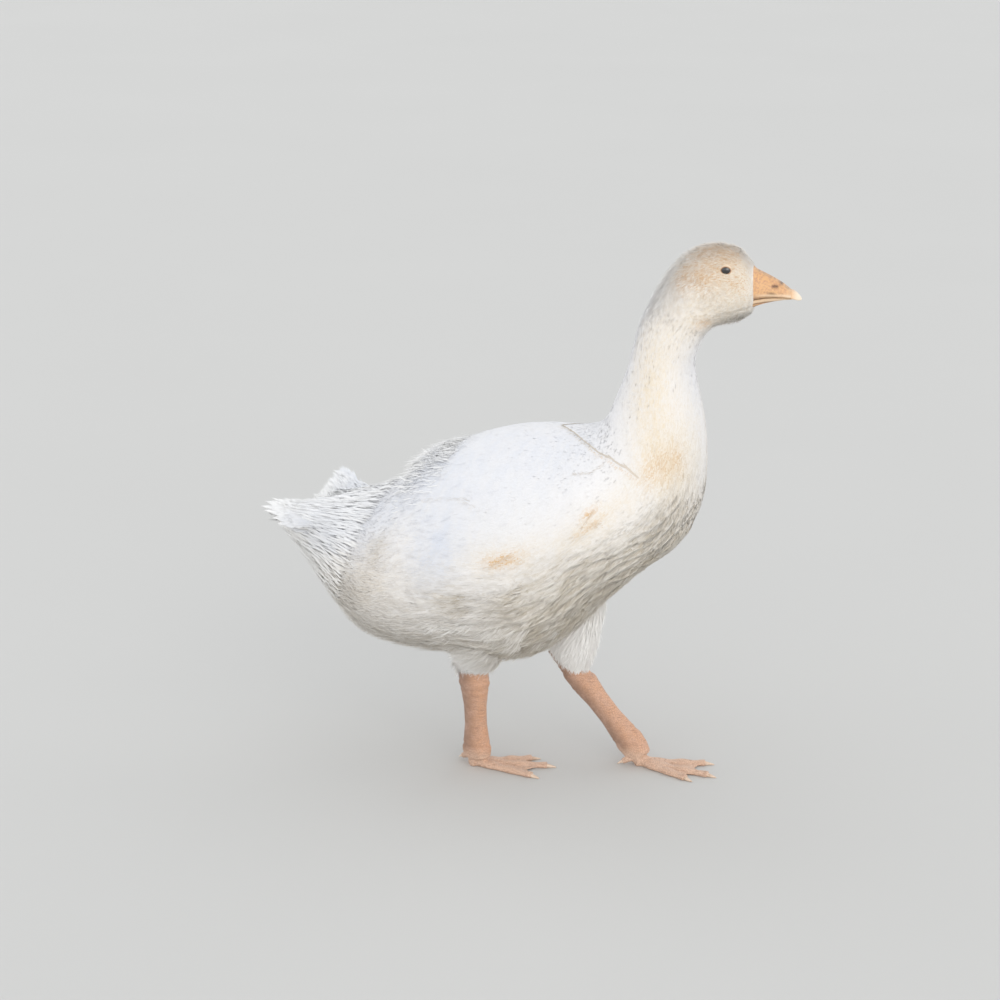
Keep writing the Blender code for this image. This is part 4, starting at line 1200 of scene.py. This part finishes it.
def tail_wedge(rng, count):
    """Long soft down from the rump to the fan, which makes body and tail one wedge."""
    s, a = rng.uniform(-3.9, 1.5, count), rng.uniform(0, PI, count) * rng.choice([-1, 1], count)
    root, normal = looked_up(SKIN_POINTS, s, a), looked_up(SKIN_NORMALS, s, a)
    aim = through(FAN_TIPS, np.interp(a, [-1.2, -0.4, 0.1, 1.2, 1.8], [0.7, 1.2, 2.7, 3.4, 2.7]))
    way = aim - UP * 5 * MM * (np.abs(a) > 1.5)[:, None] - root
    far = np.linalg.norm(way, axis=1)
    way = way / far[:, None]
    way = way - normal * np.minimum((way * normal).sum(1), 0)[:, None] * 0.8 + 0.07 * rng.normal(size=way.shape)
    reach = way * np.minimum(rng.uniform(18, 32, count) * MM, far * 0.92)[:, None]
    free = ease((0.8 - s) / 2.5)
    high = depth(s, a) * rng.uniform(0.95, 1.05, count) + (1 + rng.uniform(0, 1.2, count)) * MM * free
    high = normal * high[:, None]
    soft = unit(normal + np.stack([-0.3 + 0 * a, 0.7 * np.sign(a), 0.35 + 0 * a], -1) * free[:, None])
    points = root - normal * MM, root + reach * 0.4 + high, root + reach + high * 0.6
    width = rng.uniform(1.6, 2.4, count) * MM
    return loose_tufts(*points, normal, width, rng, lean=0.05, roll=0.03, blue=-0.2, clean=0.8, soft=soft)


def far_lobe(rng, count):
    """Down on both faces of the tail's raised left lobe, fringed along its rear edge.

    Lines run from the edge between the two lobes to the lobe's rear edge, and every tuft lies along one.
    """
    low, tip, front = np.array([(-203, 12, 268), (-196, 64, 297), (-146, 42, 289)]) * MM
    p, t = rng.uniform(0, 1, count)[:, None], rng.uniform(-0.5, 0.9, count)[:, None]
    normal = unit(np.cross(tip - front, low - front)) * rng.choice([-1, 1], count)[:, None]
    start, end = front + (low - front) * p, tip + (low - tip) * p ** 1.5
    way = unit(end - start + 4 * MM * rng.normal(size=start.shape))
    root = start + (end - start) * t + normal * 1.5 * MM
    reach = way * rng.uniform(7, 14, count)[:, None] * MM
    points = root - normal * MM, root + reach * 0.4 + normal * 1.2 * MM, root + reach + normal * 0.5 * MM
    width = rng.uniform(1.2, 2.0, count) * MM
    return loose_tufts(*points, unit(normal + UP * 0.4), width, rng, lean=0.1, roll=0.05, clean=0.9)


def back_step(rng, count):
    """Clumps of down that stand up behind the wings, where the smooth back ends."""
    s, a = rng.uniform(2.35, 3.75, count), rng.normal(size=count) * 0.32
    clump = 0.5 + 0.5 * hills(s * 4, a * 24 / PI, 48, 61)
    root, normal = looked_up(SKIN_POINTS, s, a), looked_up(SKIN_NORMALS, s, a)
    way = unit(looked_up(SKIN_POINTS, s - 0.1, a) - looked_up(SKIN_POINTS, s + 0.1, a))
    way = way + 0.22 * rng.normal(size=way.shape)
    reach = way * (rng.uniform(13, 24, count) * MM)[:, None]
    high = rng.uniform(0.4, 1.0, count) * (5 + 8 * clump) * MM * bell(a, 0.5) * ease((3.9 - s) * 1.5)
    high = normal * high[:, None]
    points = root - normal * MM, root + reach * 0.45 + high * 0.9, root + reach + high * 0.85
    soft = unit(normal + np.stack([-0.2 + 0 * a, 0.9 * np.clip(a / 0.25, -1, 1), 0 * a], -1))
    width = rng.uniform(1.1, 1.8, count) * MM
    return loose_tufts(*points, normal, width, rng, lean=0.05, roll=0.04, blue=-0.3, clean=0.9, soft=soft)


tail_rng = np.random.default_rng(300)
feathers = tail_feathers(tail_rng)
# The feathers take some painted bluish shade and full painted light.
FEATHER_NUMBERS = {"cream": 0.04, "rust": 0, "blue": 0.2, "soil": 0.03, "tip": 1, "luck": 0.3, "painted_light": 1, "shag": 0}
count = sum(len(loft_points(f)) for f in feathers)
tail_numbers = {key: np.full(count, float(value)) for key, value in FEATHER_NUMBERS.items()}
feather_material = plumage_material("feather", 0.10, 0.2)
tail = several("tail_feathers", feathers, feather_material, tail_numbers)
ride(tail, "plumage", "tail")
batches = [tail_down(tail_rng), tail_wedge(tail_rng, 9500), far_lobe(tail_rng, 2600)]
ride(coat_piece("coat_tail", batches, painted_light_material), "plumage")
ride(coat_piece("coat_step", [back_step(tail_rng, 5200)], painted_light_material), "plumage")
print("tail feathers:", len(feathers))

# %% [markdown]
# ## Bill
# The bill is a waxy skin over bone: a deep upper half with a slit of a nostril, a pale horny nail at the tip
# and a thinner lower half. Rings along it carry the shape. Small terms in each ring add the rolled pale edge
# over the mouth, the nostril's hollow and the grooves of the lower half.

# %% Skin finish of bill and legs
horn_group, given, result = new_group("mottled_skin", (
    ("Base", "NodeSocketColor", (0.7, 0.4, 0.2, 1)), ("Mottle", "NodeSocketColor", (0.5, 0.3, 0.2, 1)),
    ("Pale", "NodeSocketColor", (0.8, 0.6, 0.4, 1)), ("Scale", "NodeSocketFloat", 400.0),
), (("Color", "NodeSocketColor"), ("Pores", "NodeSocketFloat")))
tree = horn_group
where = own_place(tree)
colour = mixed(tree, spotted(tree, noise(tree, where, given.outputs["Scale"], 5.0, 0.65), 0.46, 5.0),
               given.outputs["Base"], given.outputs["Mottle"])
colour = mixed(tree, attribute(tree, "pale"), colour, given.outputs["Pale"])
colour = mixed(tree, attribute(tree, "dark"), colour, (0.055, 0.035, 0.028, 1))
tree.links.new(colour, result.inputs["Color"])
pores = noise(tree, where, maths(tree, "MULTIPLY", given.outputs["Scale"], 6.0), 4.0)
tree.links.new(pores, result.inputs["Pores"])


def horn_skin(name, base, mottle, pale, scale, roughness, coat):
    """Bare skin with fine pores: a base colour, mottled by noise, then the mesh's numbers 'pale' and 'dark'."""
    made, tree, shader = new_material(name, roughness, coat=coat, coat_roughness=0.25, subsurface=0.12)
    group = tree.nodes.new("ShaderNodeGroup")
    group.node_tree = horn_group
    for title, value in (("Base", (*base, 1)), ("Mottle", (*mottle, 1)), ("Pale", (*pale, 1)), ("Scale", scale)):
        group.inputs[title].default_value = value
    tree.links.new(group.outputs["Color"], shader.inputs["Base Color"])
    bumped(tree, group.outputs["Pores"], 0.25, 0.4 * MM, shader)
    return made


bill_material = horn_skin("bill_skin", (0.73, 0.425, 0.20), (0.53, 0.27, 0.165), (0.78, 0.60, 0.42), 420, 0.48, 0.12)
nail_material = horn_skin("bill_nail", (0.80, 0.52, 0.30), (0.70, 0.43, 0.27), (0.84, 0.72, 0.56), 300, 0.40, 0.15)

# %% Bill
BILL_X = np.array([280.5, 285.4, 295, 304, 313, 321]) * MM
CULMEN_Z = np.array([571.5, 566.8, 562.5, 558, 552.8, 546.5]) * MM
MOUTH_Z = np.array([536.5, 538, 539.5, 540, 539.8, 538.8]) * MM
BILL_HALF = np.array([18.6, 15.8, 13.8, 12.3, 11, 9.2]) * MM
NAIL_LENGTH = 11 * MM
NOSTRIL = (305 * MM, 551 * MM)


def bill_ring(x, top, base, half, power=0.75):
    """A ring across the bill: half times cosine to a power across, an arch up to the top, and a flat base."""
    angle = np.linspace(0, PI, 33)
    y = half * np.sign(np.cos(angle)) * np.abs(np.cos(angle)) ** power
    z = base + (top - base) * np.sin(angle) ** 0.9
    flat = np.linspace(-half, half, 13)[1:-1]
    y, z = np.append(y, flat), np.append(z, np.full(11, base))
    return np.stack([np.full(len(y), x), y, z], -1)


def at_nostril(x, z, long, high):
    """1 in the nostril, a level slit with blunt ends, falling off over a length and a height in mm."""
    return bell(x - NOSTRIL[0], long * MM, 4) * bell(z - NOSTRIL[1], high * MM)


def upper_rings():
    """The upper half, with its rolled edge, and the nostril's hollow with a swollen rim."""
    rings = []
    for x in np.linspace(BILL_X[0] - 3 * MM, BILL_X[-1] + 0.6 * MM, 48):
        top, base, half = (float(np.interp(x, BILL_X, values)) for values in (CULMEN_Z, MOUTH_Z, BILL_HALF))
        ring = bill_ring(x, top, base, half)
        z = ring[:, 2]
        roll, pit, rim = bell(z - base - 1.5 * MM, 1.3 * MM), at_nostril(x, z, 3.6, 1.5), at_nostril(x, z, 5.6, 3.6)
        out = 0.5 * roll - 2.6 * pit + 0.5 * rim
        ring[:, 1] += np.sign(ring[:, 1]) * out * MM * (np.abs(ring[:, 1]) > 1 * MM)
        rings.append(ring)
    return np.array(rings)


def bill_numbers(straight, lower):
    """Where the bill is pale, along the mouth's edge, and dark, with painted shade in the nostril, the mouth's line
    and the grooves.

    Lengths are in mm here.
    """
    x, z = straight[:, 0] / MM, straight[:, 2] / MM
    over_mouth, over_ridge = (z - np.interp(x, BILL_X / MM, values / MM) for values in (MOUTH_Z, CULMEN_Z))
    if lower:
        pale = bell(over_mouth + 2.6, 1.6)
        # Painted shade in the mouth's line and in the two grooves.
        dark = sum(amount * bell(over_mouth + low, 0.5) for low, amount in ((4.9, 0.75), (0.2, 0.8), (7.6, 0.6)))
    else:
        pale = 0.30 * ease((x - 312) / 9) + 0.85 * bell(over_mouth - 2.3, 1.2)
        smudge = bell(x - 311, 1.8) * bell(z - 553.5, 2.4) * (0.6 + 0.5 * hills(x / 1.1, z / 1.1, 50, 71))
        ridge = bell(over_ridge, 1.2) * (0.6 + 0.6 * hills(x / 1.6, z / 1.6, 50, 72))
        line = bell(over_mouth - 4.4, 0.55) * ease((316 - x) / 12)
        # The nostril's pit gets painted shade, and so does the mouth's line below.
        dark = 0.95 * at_nostril(x * MM, z * MM, 3.3, 1.2) + 0.7 * smudge + 0.35 * ridge + 0.65 * line
        dark += 0.7 * bell(over_mouth - 0.3, 0.55)
    return {"pale": np.clip(pale, 0, 1), "dark": np.clip(dark, 0, 1)}


def bill_piece(name, rings, lower=False):
    """One half of the bill, turned with the head. Its numbers are read off its straight place."""
    straight = loft_points(rings)
    points = posed(straight)
    faces = outward(points, loft_faces(*rings.shape[:2]))
    return put(name, points, faces, bill_material, bill_numbers(straight, lower))


ride(bill_piece("bill_upper_skin", upper_rings()), "bill_skin", "bill_upper")


def nail_rings():
    """The nail: the bill's last ring narrowing to a round tip that hooks down over the lower half."""
    rings = []
    for t in np.sin(np.linspace(0, PI / 2, 22)):
        half = BILL_HALF[-1] * math.sqrt(max(1 - t * t, 0.004))
        top = CULMEN_Z[-1] - 8.5 * MM * t ** 1.8
        base = MOUTH_Z[-1] - 2.2 * MM * float(ease(t * 1.1))
        rings.append(bill_ring(BILL_X[-1] + 0.15 * MM + NAIL_LENGTH * t, top, min(base, top - 0.4 * MM), half))
    return np.array(rings)


rings = nail_rings()
ahead = loft_points(rings)[:, 0] - BILL_X[-1]
bill_nail = loft("bill_nail_horn", posed(rings), nail_material, {"pale": ease(ahead / (8 * MM)), "dark": 0 * ahead})
ride(bill_nail, "horn", "bill_nail")


def lower_rings():
    """The lower half: an arch hung from the mouth's line, with two grooves along each side."""
    rings = []
    start, end = BILL_X[0] - 3 * MM, BILL_X[-1] + 1 * MM
    for t in np.linspace(0, 1, 40):
        x = start + (end - start) * t
        top = float(np.interp(x, BILL_X, MOUTH_Z)) - 0.3 * MM
        half = (float(np.interp(x, BILL_X, BILL_HALF)) - 0.8 * MM) * (1 - 0.55 * float(ease((t - 0.6) * 2.4)))
        ring = bill_ring(x, top - (10.5 - 8.5 * t ** 0.9) * MM, top, half, 0.55)
        below = top - ring[:, 2]
        groove = bell(below - 4.4 * MM, 0.5 * MM) + bell(below - 7.1 * MM, 0.5 * MM)
        ring[:, 1] -= np.sign(ring[:, 1]) * groove * 0.7 * MM * (np.abs(ring[:, 1]) > 1.5 * MM)
        rings.append(ring)
    return np.array(rings)


ride(bill_piece("bill_lower_skin", lower_rings(), lower=True), "bill_skin", "bill_lower")
print("bill pieces: 3")

# %% [markdown]
# ## Eyes
# The eye is a dark, wet ball that looks almost black. Two lids leave a level oval open, with a thin bare ring
# of orange skin at the edge. Ball and lids are surfaces about the same centre: the lid is a shell a little
# larger than the ball with an oval hole.

# %% Eyes
EYE_RADIUS = 7.2 * MM
OPENING = (4.4 * MM, 3.6 * MM)


def about_eye(side, off, turn, radius):
    """Points in the head about an eye's centre, by the angle off the sideways axis and the turn round it."""
    sideways, level, up = np.cos(off), np.sin(off) * np.cos(turn), np.sin(off) * np.sin(turn)
    return np.stack([level * radius, side * sideways * radius + 0 * turn, up * radius], -1)


def in_head(side, points):
    """Points about an eye's centre, put in their place in the turned head."""
    return posed(np.array([EYE[0], side * EYE[1], EYE[2]]) + points)


def eye_ball(side):
    """The eyeball, a little raised over the pupil and drawn in behind the lids."""
    off = np.linspace(0.02, PI - 0.02, 40)[:, None]
    bulge = EYE_RADIUS * (1 + 0.02 * bell(off, 0.5) - 0.17 * ease((off - 0.76) / 0.3))
    return in_head(side, about_eye(side, off, circle(48)[None, :], bulge)), off


eye_material, tree, shader = new_material("eye", 0.08, coat=1.0, coat_roughness=0.02, specular=0.6)
colour = mixed(tree, attribute(tree, "iris"), (0.006, 0.005, 0.005, 1), (0.040, 0.034, 0.034, 1))
tree.links.new(colour, shader.inputs["Base Color"])
lid_material = horn_skin("lid_skin", (0.66, 0.37, 0.20), (0.48, 0.25, 0.14), (0.80, 0.65, 0.49), 500, 0.8, 0.0)


def lid_shell(side):
    """The lids: a rounded rim at the oval opening, then a shell over the ball that dives under the skin."""
    turn = circle(64)[None, :]
    steps = np.linspace(0, 1, 12)[:, None]
    corner = 1 + 0.10 * np.abs(np.cos(turn)) ** 6
    hole = np.hypot(OPENING[0] * np.cos(turn) * corner, OPENING[1] * np.sin(turn))
    tilt = np.arctan2(OPENING[1] * np.sin(turn), OPENING[0] * np.cos(turn))
    start = np.arcsin(hole / (EYE_RADIUS + 0.3 * MM))
    off = start + (1.45 - start) * steps
    rim = np.sin(PI * np.clip(steps * 3.4, 0, 1)) ** 0.7 * (steps < 0.3)
    outer = about_eye(side, off, tilt, EYE_RADIUS + (0.25 + 0.45 * rim - ease((steps - 0.3) * 1.6)) * MM)
    inner = outer * (1 - 0.35 * MM / np.linalg.norm(outer, axis=-1, keepdims=True))
    shell = np.concatenate([inner[::-1], outer])
    return in_head(side, shell), np.concatenate([steps[::-1], steps]) + 0 * shell[..., 0]


for name, leg in LEGS.items():
    side = leg["side"]
    rings, off = eye_ball(side)
    iris = np.append((bell(off - 0.60, 0.16) + 0 * rings[..., 0]).ravel(), [0, 0])
    ride(loft("eye_ball_" + name, rings, eye_material, {"iris": iris}), "eye_black", "eye_" + name)
    rings, steps = lid_shell(side)
    rows, around = rings.shape[:2]
    i, j = np.meshgrid(np.arange(rows), np.arange(around), indexing="ij")
    a, b = i * around + j, i * around + (j + 1) % around
    c, d = (i + 1) % rows * around + (j + 1) % around, (i + 1) % rows * around + j
    points = rings.reshape(-1, 3)
    faces = outward(points - points.mean(0), [np.stack([a, b, c, d], -1).reshape(-1, 4)])
    numbers = {"pale": 0.95 * ease((steps - 0.05) / 0.12), "dark": 0.45 * bell(steps, 0.10)}
    ride(put("lids_" + name, points, faces, lid_material, numbers), "cream_down")
print("eyes and lids: 2 each")

# %% [markdown]
# ## Legs and feet
# A goose's shank is bare, scaly skin, thick at the hock and at the ankle. Three webbed toes spread on the floor
# and a small hind toe hangs clear of it. Lofts for the shank, toes and webs are joined and remeshed into one
# skin, so the web grows out of the toes without a seam.

# %% Legs and feet
SHANK_HALF = (12.6 * MM, 9.2 * MM)
TOE_LENGTH = {"inner": 62 * MM, "middle": 78 * MM, "outer": 70 * MM}
TOE_ANGLE = {"inner": -16, "middle": 2, "outer": 27}
TOE_HEIGHT, TOE_HALF = 8.5 * MM, 7.5 * MM
CLAW_LENGTH = 10 * MM
FOOT_TOP = 9 * MM
SHANK_FROM, SHANK_TO = -0.26, 1.08
SHANK_STOPS = (SHANK_FROM, -0.05, 0.08, 0.2, 0.4, 0.65, 0.85, 1, SHANK_TO)
SHANK_SIZES = (1.15, 1.3, 1.36, 1.2, 1.02, 1.0, 1.15, 1.3, 1.2)
ANKLE_SIZES = ((-0.2, 1.25), (0, 1.3), (0.5, 1.22), (0.9, 1.0), (1, 0.8))


def oval_ring(centre, axis, front, half, around=40):
    """A ring about a centre, square to the axis, with one half width to the front and one to the side."""
    axis = unit(axis)
    ahead = unit(front - axis * (front @ axis))
    angle = circle(around)[:, None]
    return centre + ahead * half[0] * np.cos(angle) + np.cross(axis, ahead) * half[1] * np.sin(angle)


def leg_line(leg):
    """The hock, the ankle and the way from one to the other."""
    hock, ankle = np.array(leg["hock"]) * MM, np.array(leg["ankle"]) * MM
    return hock, ankle, unit(ankle - hock)


def shank_rings(leg):
    """The shank, from inside the thigh's down to inside the foot, with folds at the hock and the ankle."""
    hock, ankle, axis = leg_line(leg)
    start = hock - UP * 0.3 * MM
    rings = []
    for t in np.linspace(SHANK_FROM, SHANK_TO, 110):
        size = float(np.interp(t, SHANK_STOPS, SHANK_SIZES))
        size += 0.045 * math.sin(t * 88 + 2 * math.sin(t * 31)) * float(ease((0.36 - t) / 0.3))
        size += 0.045 * math.sin(t * 100 + 2 * math.sin(t * 37)) * float(ease((t - 0.74) / 0.2))
        lean = unit(axis * ease(t * 4) - UP * (1 - ease(t * 4)))
        rings.append(oval_ring(start + (ankle - start) * t, lean, AHEAD, [h * size for h in SHANK_HALF]))
    return np.array(rings)


def foot_frame(leg):
    """The foot's middle on the floor, and the way that a toe of a given name points."""
    ankle, axis = leg_line(leg)[1:]
    middle = ankle + axis * (ankle[2] - FOOT_TOP) / -axis[2]
    middle[2] = 0

    def way(name):
        angle = math.radians(leg["side"] * (TOE_ANGLE[name] + leg["toe_out"]))
        return np.array([math.cos(angle), math.sin(angle), 0])
    return middle, way


def toe_ring(place, way, half, height, lift=0.0):
    """A flat-soled, round-topped ring across a toe."""
    angle = np.radians(np.concatenate([[-50, -30, -10], np.linspace(10, 170, 17), [190, 210, 230]]))
    across = np.cross(UP, way)
    y, z = np.cos(angle), 0.42 + 0.58 * np.sin(angle)
    z[[0, -1]] = 0
    y[0], y[-1] = 0.7, -0.7
    return place + across * half * y[:, None] + UP * (lift + height * z[:, None])


def toe_rings(middle, way, length):
    """One toe with a knuckle at each of its joints."""
    rings = []
    for t in np.linspace(0, 1, 46):
        swell = 1 + 0.10 * math.cos(t * 6 * PI)
        half = (TOE_HALF + (4.4 * MM - TOE_HALF) * t) * swell
        height = (TOE_HEIGHT + (5.6 * MM - TOE_HEIGHT) * t ** 0.7) * swell + FOOT_TOP * bell(t, 0.17)
        place = middle + way * (t * length - (5 * MM + 0.03 * length) * (1 - t))
        rings.append(toe_ring(place, way, half, height))
    return np.array(rings)


def web_rings(middle, way_a, way_b, length_a, length_b, rows=22):
    """The skin between two toes: a hollow front edge, sagging between the toes and scalloped by folds.

    It is a tube of flat rings: each ring runs over the top and back under the bottom.
    """
    across = np.linspace(0, 1, rows)[None, :, None]
    along = np.linspace(0.10, 1, rows)[:, None, None]
    way = unit(way_a * (1 - across) + way_b * across)
    reach = (length_a * (1 - across) + length_b * across) * (0.93 - 0.20 * np.sin(PI * across))
    flat = middle + way * reach * along
    fold = 0.35 * MM * np.sin(across * PI * 6) * np.sin(PI * across) * along
    top, bottom = flat + UP * (3.2 * MM + fold), flat + UP * (0.7 * MM + fold * 0.3)
    return np.concatenate([top, bottom[:, ::-1]], axis=1)


def hind_toe(leg):
    """Root, end and way of the small raised hind toe."""
    middle = foot_frame(leg)[0]
    root = middle + np.array([-4 * MM, -leg["side"] * 3 * MM, 12 * MM])
    back = unit([-0.86, -leg["side"] * 0.30, -0.38])
    return root, root + back * 19 * MM, back


def foot_bodies(leg):
    """The lofts that make one lower leg."""
    ankle, axis = leg_line(leg)[1:]
    middle, way = foot_frame(leg)
    reach = axis * (ankle[2] - FOOT_TOP) / -axis[2]
    bodies = [shank_rings(leg), np.array([
        oval_ring(ankle + reach * part, axis, AHEAD, [h * size for h in SHANK_HALF]) for part, size in ANKLE_SIZES])]
    bodies += [toe_rings(middle, way(name), TOE_LENGTH[name]) for name in TOE_LENGTH]
    for a, b in (("inner", "middle"), ("middle", "outer")):
        bodies.append(web_rings(middle, way(a), way(b), TOE_LENGTH[a], TOE_LENGTH[b]))
    start, end, back = hind_toe(leg)
    bodies.append(np.array([
        oval_ring(start + (end - start) * t, back, UP, [(4.6 - 1.4 * t) * MM, (4.2 - 1.2 * t) * MM])
        for t in np.linspace(0, 1, 12)]))
    return bodies


leg_material, tree, shader = new_material("leg_skin", 0.52, coat=0.10, coat_roughness=0.35, subsurface=0.10)
where = own_place(tree)
scales = node(tree, "ShaderNodeTexVoronoi", feature="DISTANCE_TO_EDGE", in_Scale=460.0)
tree.links.new(where, scales.inputs["Vector"])
edge_distance = scales.outputs["Distance"]
flat = node(tree, "ShaderNodeMapping", in_Scale=(130, 130, 1000))
tree.links.new(where, flat.inputs["Vector"])
wrinkles = spotted(tree, 0.46, noise(tree, flat.outputs["Vector"], 1.0, 3.0, 0.6), 6.0)
seams = maths(tree, "SUBTRACT", 1.0, maths(tree, "MULTIPLY", edge_distance, 7.0, clamp=True))
# Painted shade: the shank's back is much darker than its front, which faces the light; the foot counts as front.
colour = mixed(tree, attribute(tree, "front"), (0.34, 0.205, 0.14, 1), (0.70, 0.40, 0.25, 1))
for factor, towards in (
        (spotted(tree, noise(tree, where, 90.0, 5.0, 0.7), 0.4, 2.0), (0.66, 0.43, 0.33, 1)),
        (attribute(tree, "pale"), (0.82, 0.65, 0.52, 1)),
        (maths(tree, "MULTIPLY", wrinkles, 0.55), (0.33, 0.17, 0.11, 1)),
        (maths(tree, "MULTIPLY", seams, 0.5), (0.36, 0.19, 0.125, 1)),
        (attribute(tree, "dark"), (0.30, 0.17, 0.11, 1))):
    colour = mixed(tree, factor, colour, towards)
tree.links.new(colour, shader.inputs["Base Color"])
swollen = maths(tree, "MULTIPLY", edge_distance, 5.0, clamp=True)
bumped(tree, maths(tree, "SUBTRACT", swollen, wrinkles), 0.55, 0.6 * MM, shader)

for name, leg in LEGS.items():
    made = several("leg_skin_" + name, foot_bodies(leg), leg_material)
    fuse = made.modifiers.new("fuse", "REMESH")
    fuse.mode, fuse.voxel_size = "VOXEL", 0.9 * MM
    smooth = made.modifiers.new("smooth", "SMOOTH")
    smooth.factor, smooth.iterations = 0.5, 6
    bpy.context.view_layer.update()
    baked(made)
    points = read_points(made.data)
    hock, ankle, axis = leg_line(leg)
    t = np.clip((points[:, 2] - ankle[2]) / (hock[2] - ankle[2]), 0, 1)
    line_x = ankle[0] + (hock[0] - ankle[0]) * t
    # front: 1 on the shank's front and 0 on its back, for the painted shade on the back.
    front = ease(0.5 + (points[:, 0] - line_x) / (20 * MM))
    low, sole = ease((26 * MM - points[:, 2]) / (14 * MM)), ease((1.2 * MM - points[:, 2]) / MM)
    keep_numbers(made.data, {"front": np.maximum(front, low * 0.8), "pale": 0.45 * low, "dark": 0.5 * sole})
    made.data.shade_smooth()
    ride(made, "leg_skin", "shank_" + name, "foot_" + name)
    print(made.name, "points:", len(points))

# %% [markdown]
# ## Claws
# Each toe ends in a short blunt claw of pale horn, which narrows ahead of the toe and bends to the floor.

# %% Claws
claw_material = horn_skin("claw_horn", (0.74, 0.58, 0.45), (0.55, 0.38, 0.27), (0.86, 0.78, 0.68), 200, 0.36, 0.2)


def claw_rings(end, way):
    """One blunt claw that narrows ahead of a toe's end and bends down to the floor."""
    rings = []
    for t in np.linspace(0, 1, 14):
        half = 2.9 * MM * (1 - 0.82 * t ** 1.4)
        height = 4.4 * MM * (1 - 0.80 * t ** 1.2)
        rings.append(toe_ring(end + way * (t * CLAW_LENGTH - 1.5 * MM * (1 - t)), way, half, height, 0.3 * MM))
    return np.array(rings)


def hind_claw_rings(leg):
    """The hind toe's small claw, bent down a little."""
    end, back = hind_toe(leg)[1:]
    return np.array([
        oval_ring(end + back * (7 * t - 1) * MM - UP * 0.6 * MM * t * t, back, UP, [(2.3 - 1.955 * t) * MM] * 2, 16)
        for t in np.linspace(0, 1, 10)])


for name, leg in LEGS.items():
    middle, way = foot_frame(leg)
    claws = {toe: claw_rings(middle + way(toe) * length, way(toe)) for toe, length in TOE_LENGTH.items()}
    claws["hind"] = hind_claw_rings(leg)
    for toe, rings in claws.items():
        plain = np.zeros(rings.shape[0] * rings.shape[1] + 2)
        claw = loft(f"claw_horn_{toe}_{name}", rings, claw_material, {"pale": plain, "dark": plain})
        ride(claw, "horn", f"claw_{toe}_{name}")
print("claws: 8")

# %% [markdown]
# ## Floor
# A plain matt floor in light grey takes the bird's soft shadow. It is staging, no part of the object.

# %% Floor
FLOOR_RADIUS = 24.0
floor_material, tree, shader = new_material("floor", 0.75, specular=0.2)
colour = mixed(tree, noise(tree, own_place(tree), 1.5), (0.59, 0.585, 0.57, 1), (0.61, 0.605, 0.59, 1))
tree.links.new(colour, shader.inputs["Base Color"])
turn = circle(96)
disc = np.concatenate([FLOOR_RADIUS * np.stack([np.cos(turn), np.sin(turn), 0 * turn], -1), [[0, 0, 0]]])
rim = np.stack([np.arange(96), (np.arange(96) + 1) % 96, np.full(96, 96)], -1)
floor = put("floor", disc, [rim], floor_material, smooth=False)
floor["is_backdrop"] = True

# %% [markdown]
# ## Finish
# The frame's box and the finished model's box are printed, so that the two can be compared.

# %% Finish
MODEL_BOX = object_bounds()


def plain(box):
    """A box's corners as lists of numbers."""
    return [[float(x) for x in corner] for corner in box]


{"cad": plain(CAD_BOX), "model": plain(MODEL_BOX)}
print("cad box", plain(CAD_BOX), "model box", plain(MODEL_BOX))
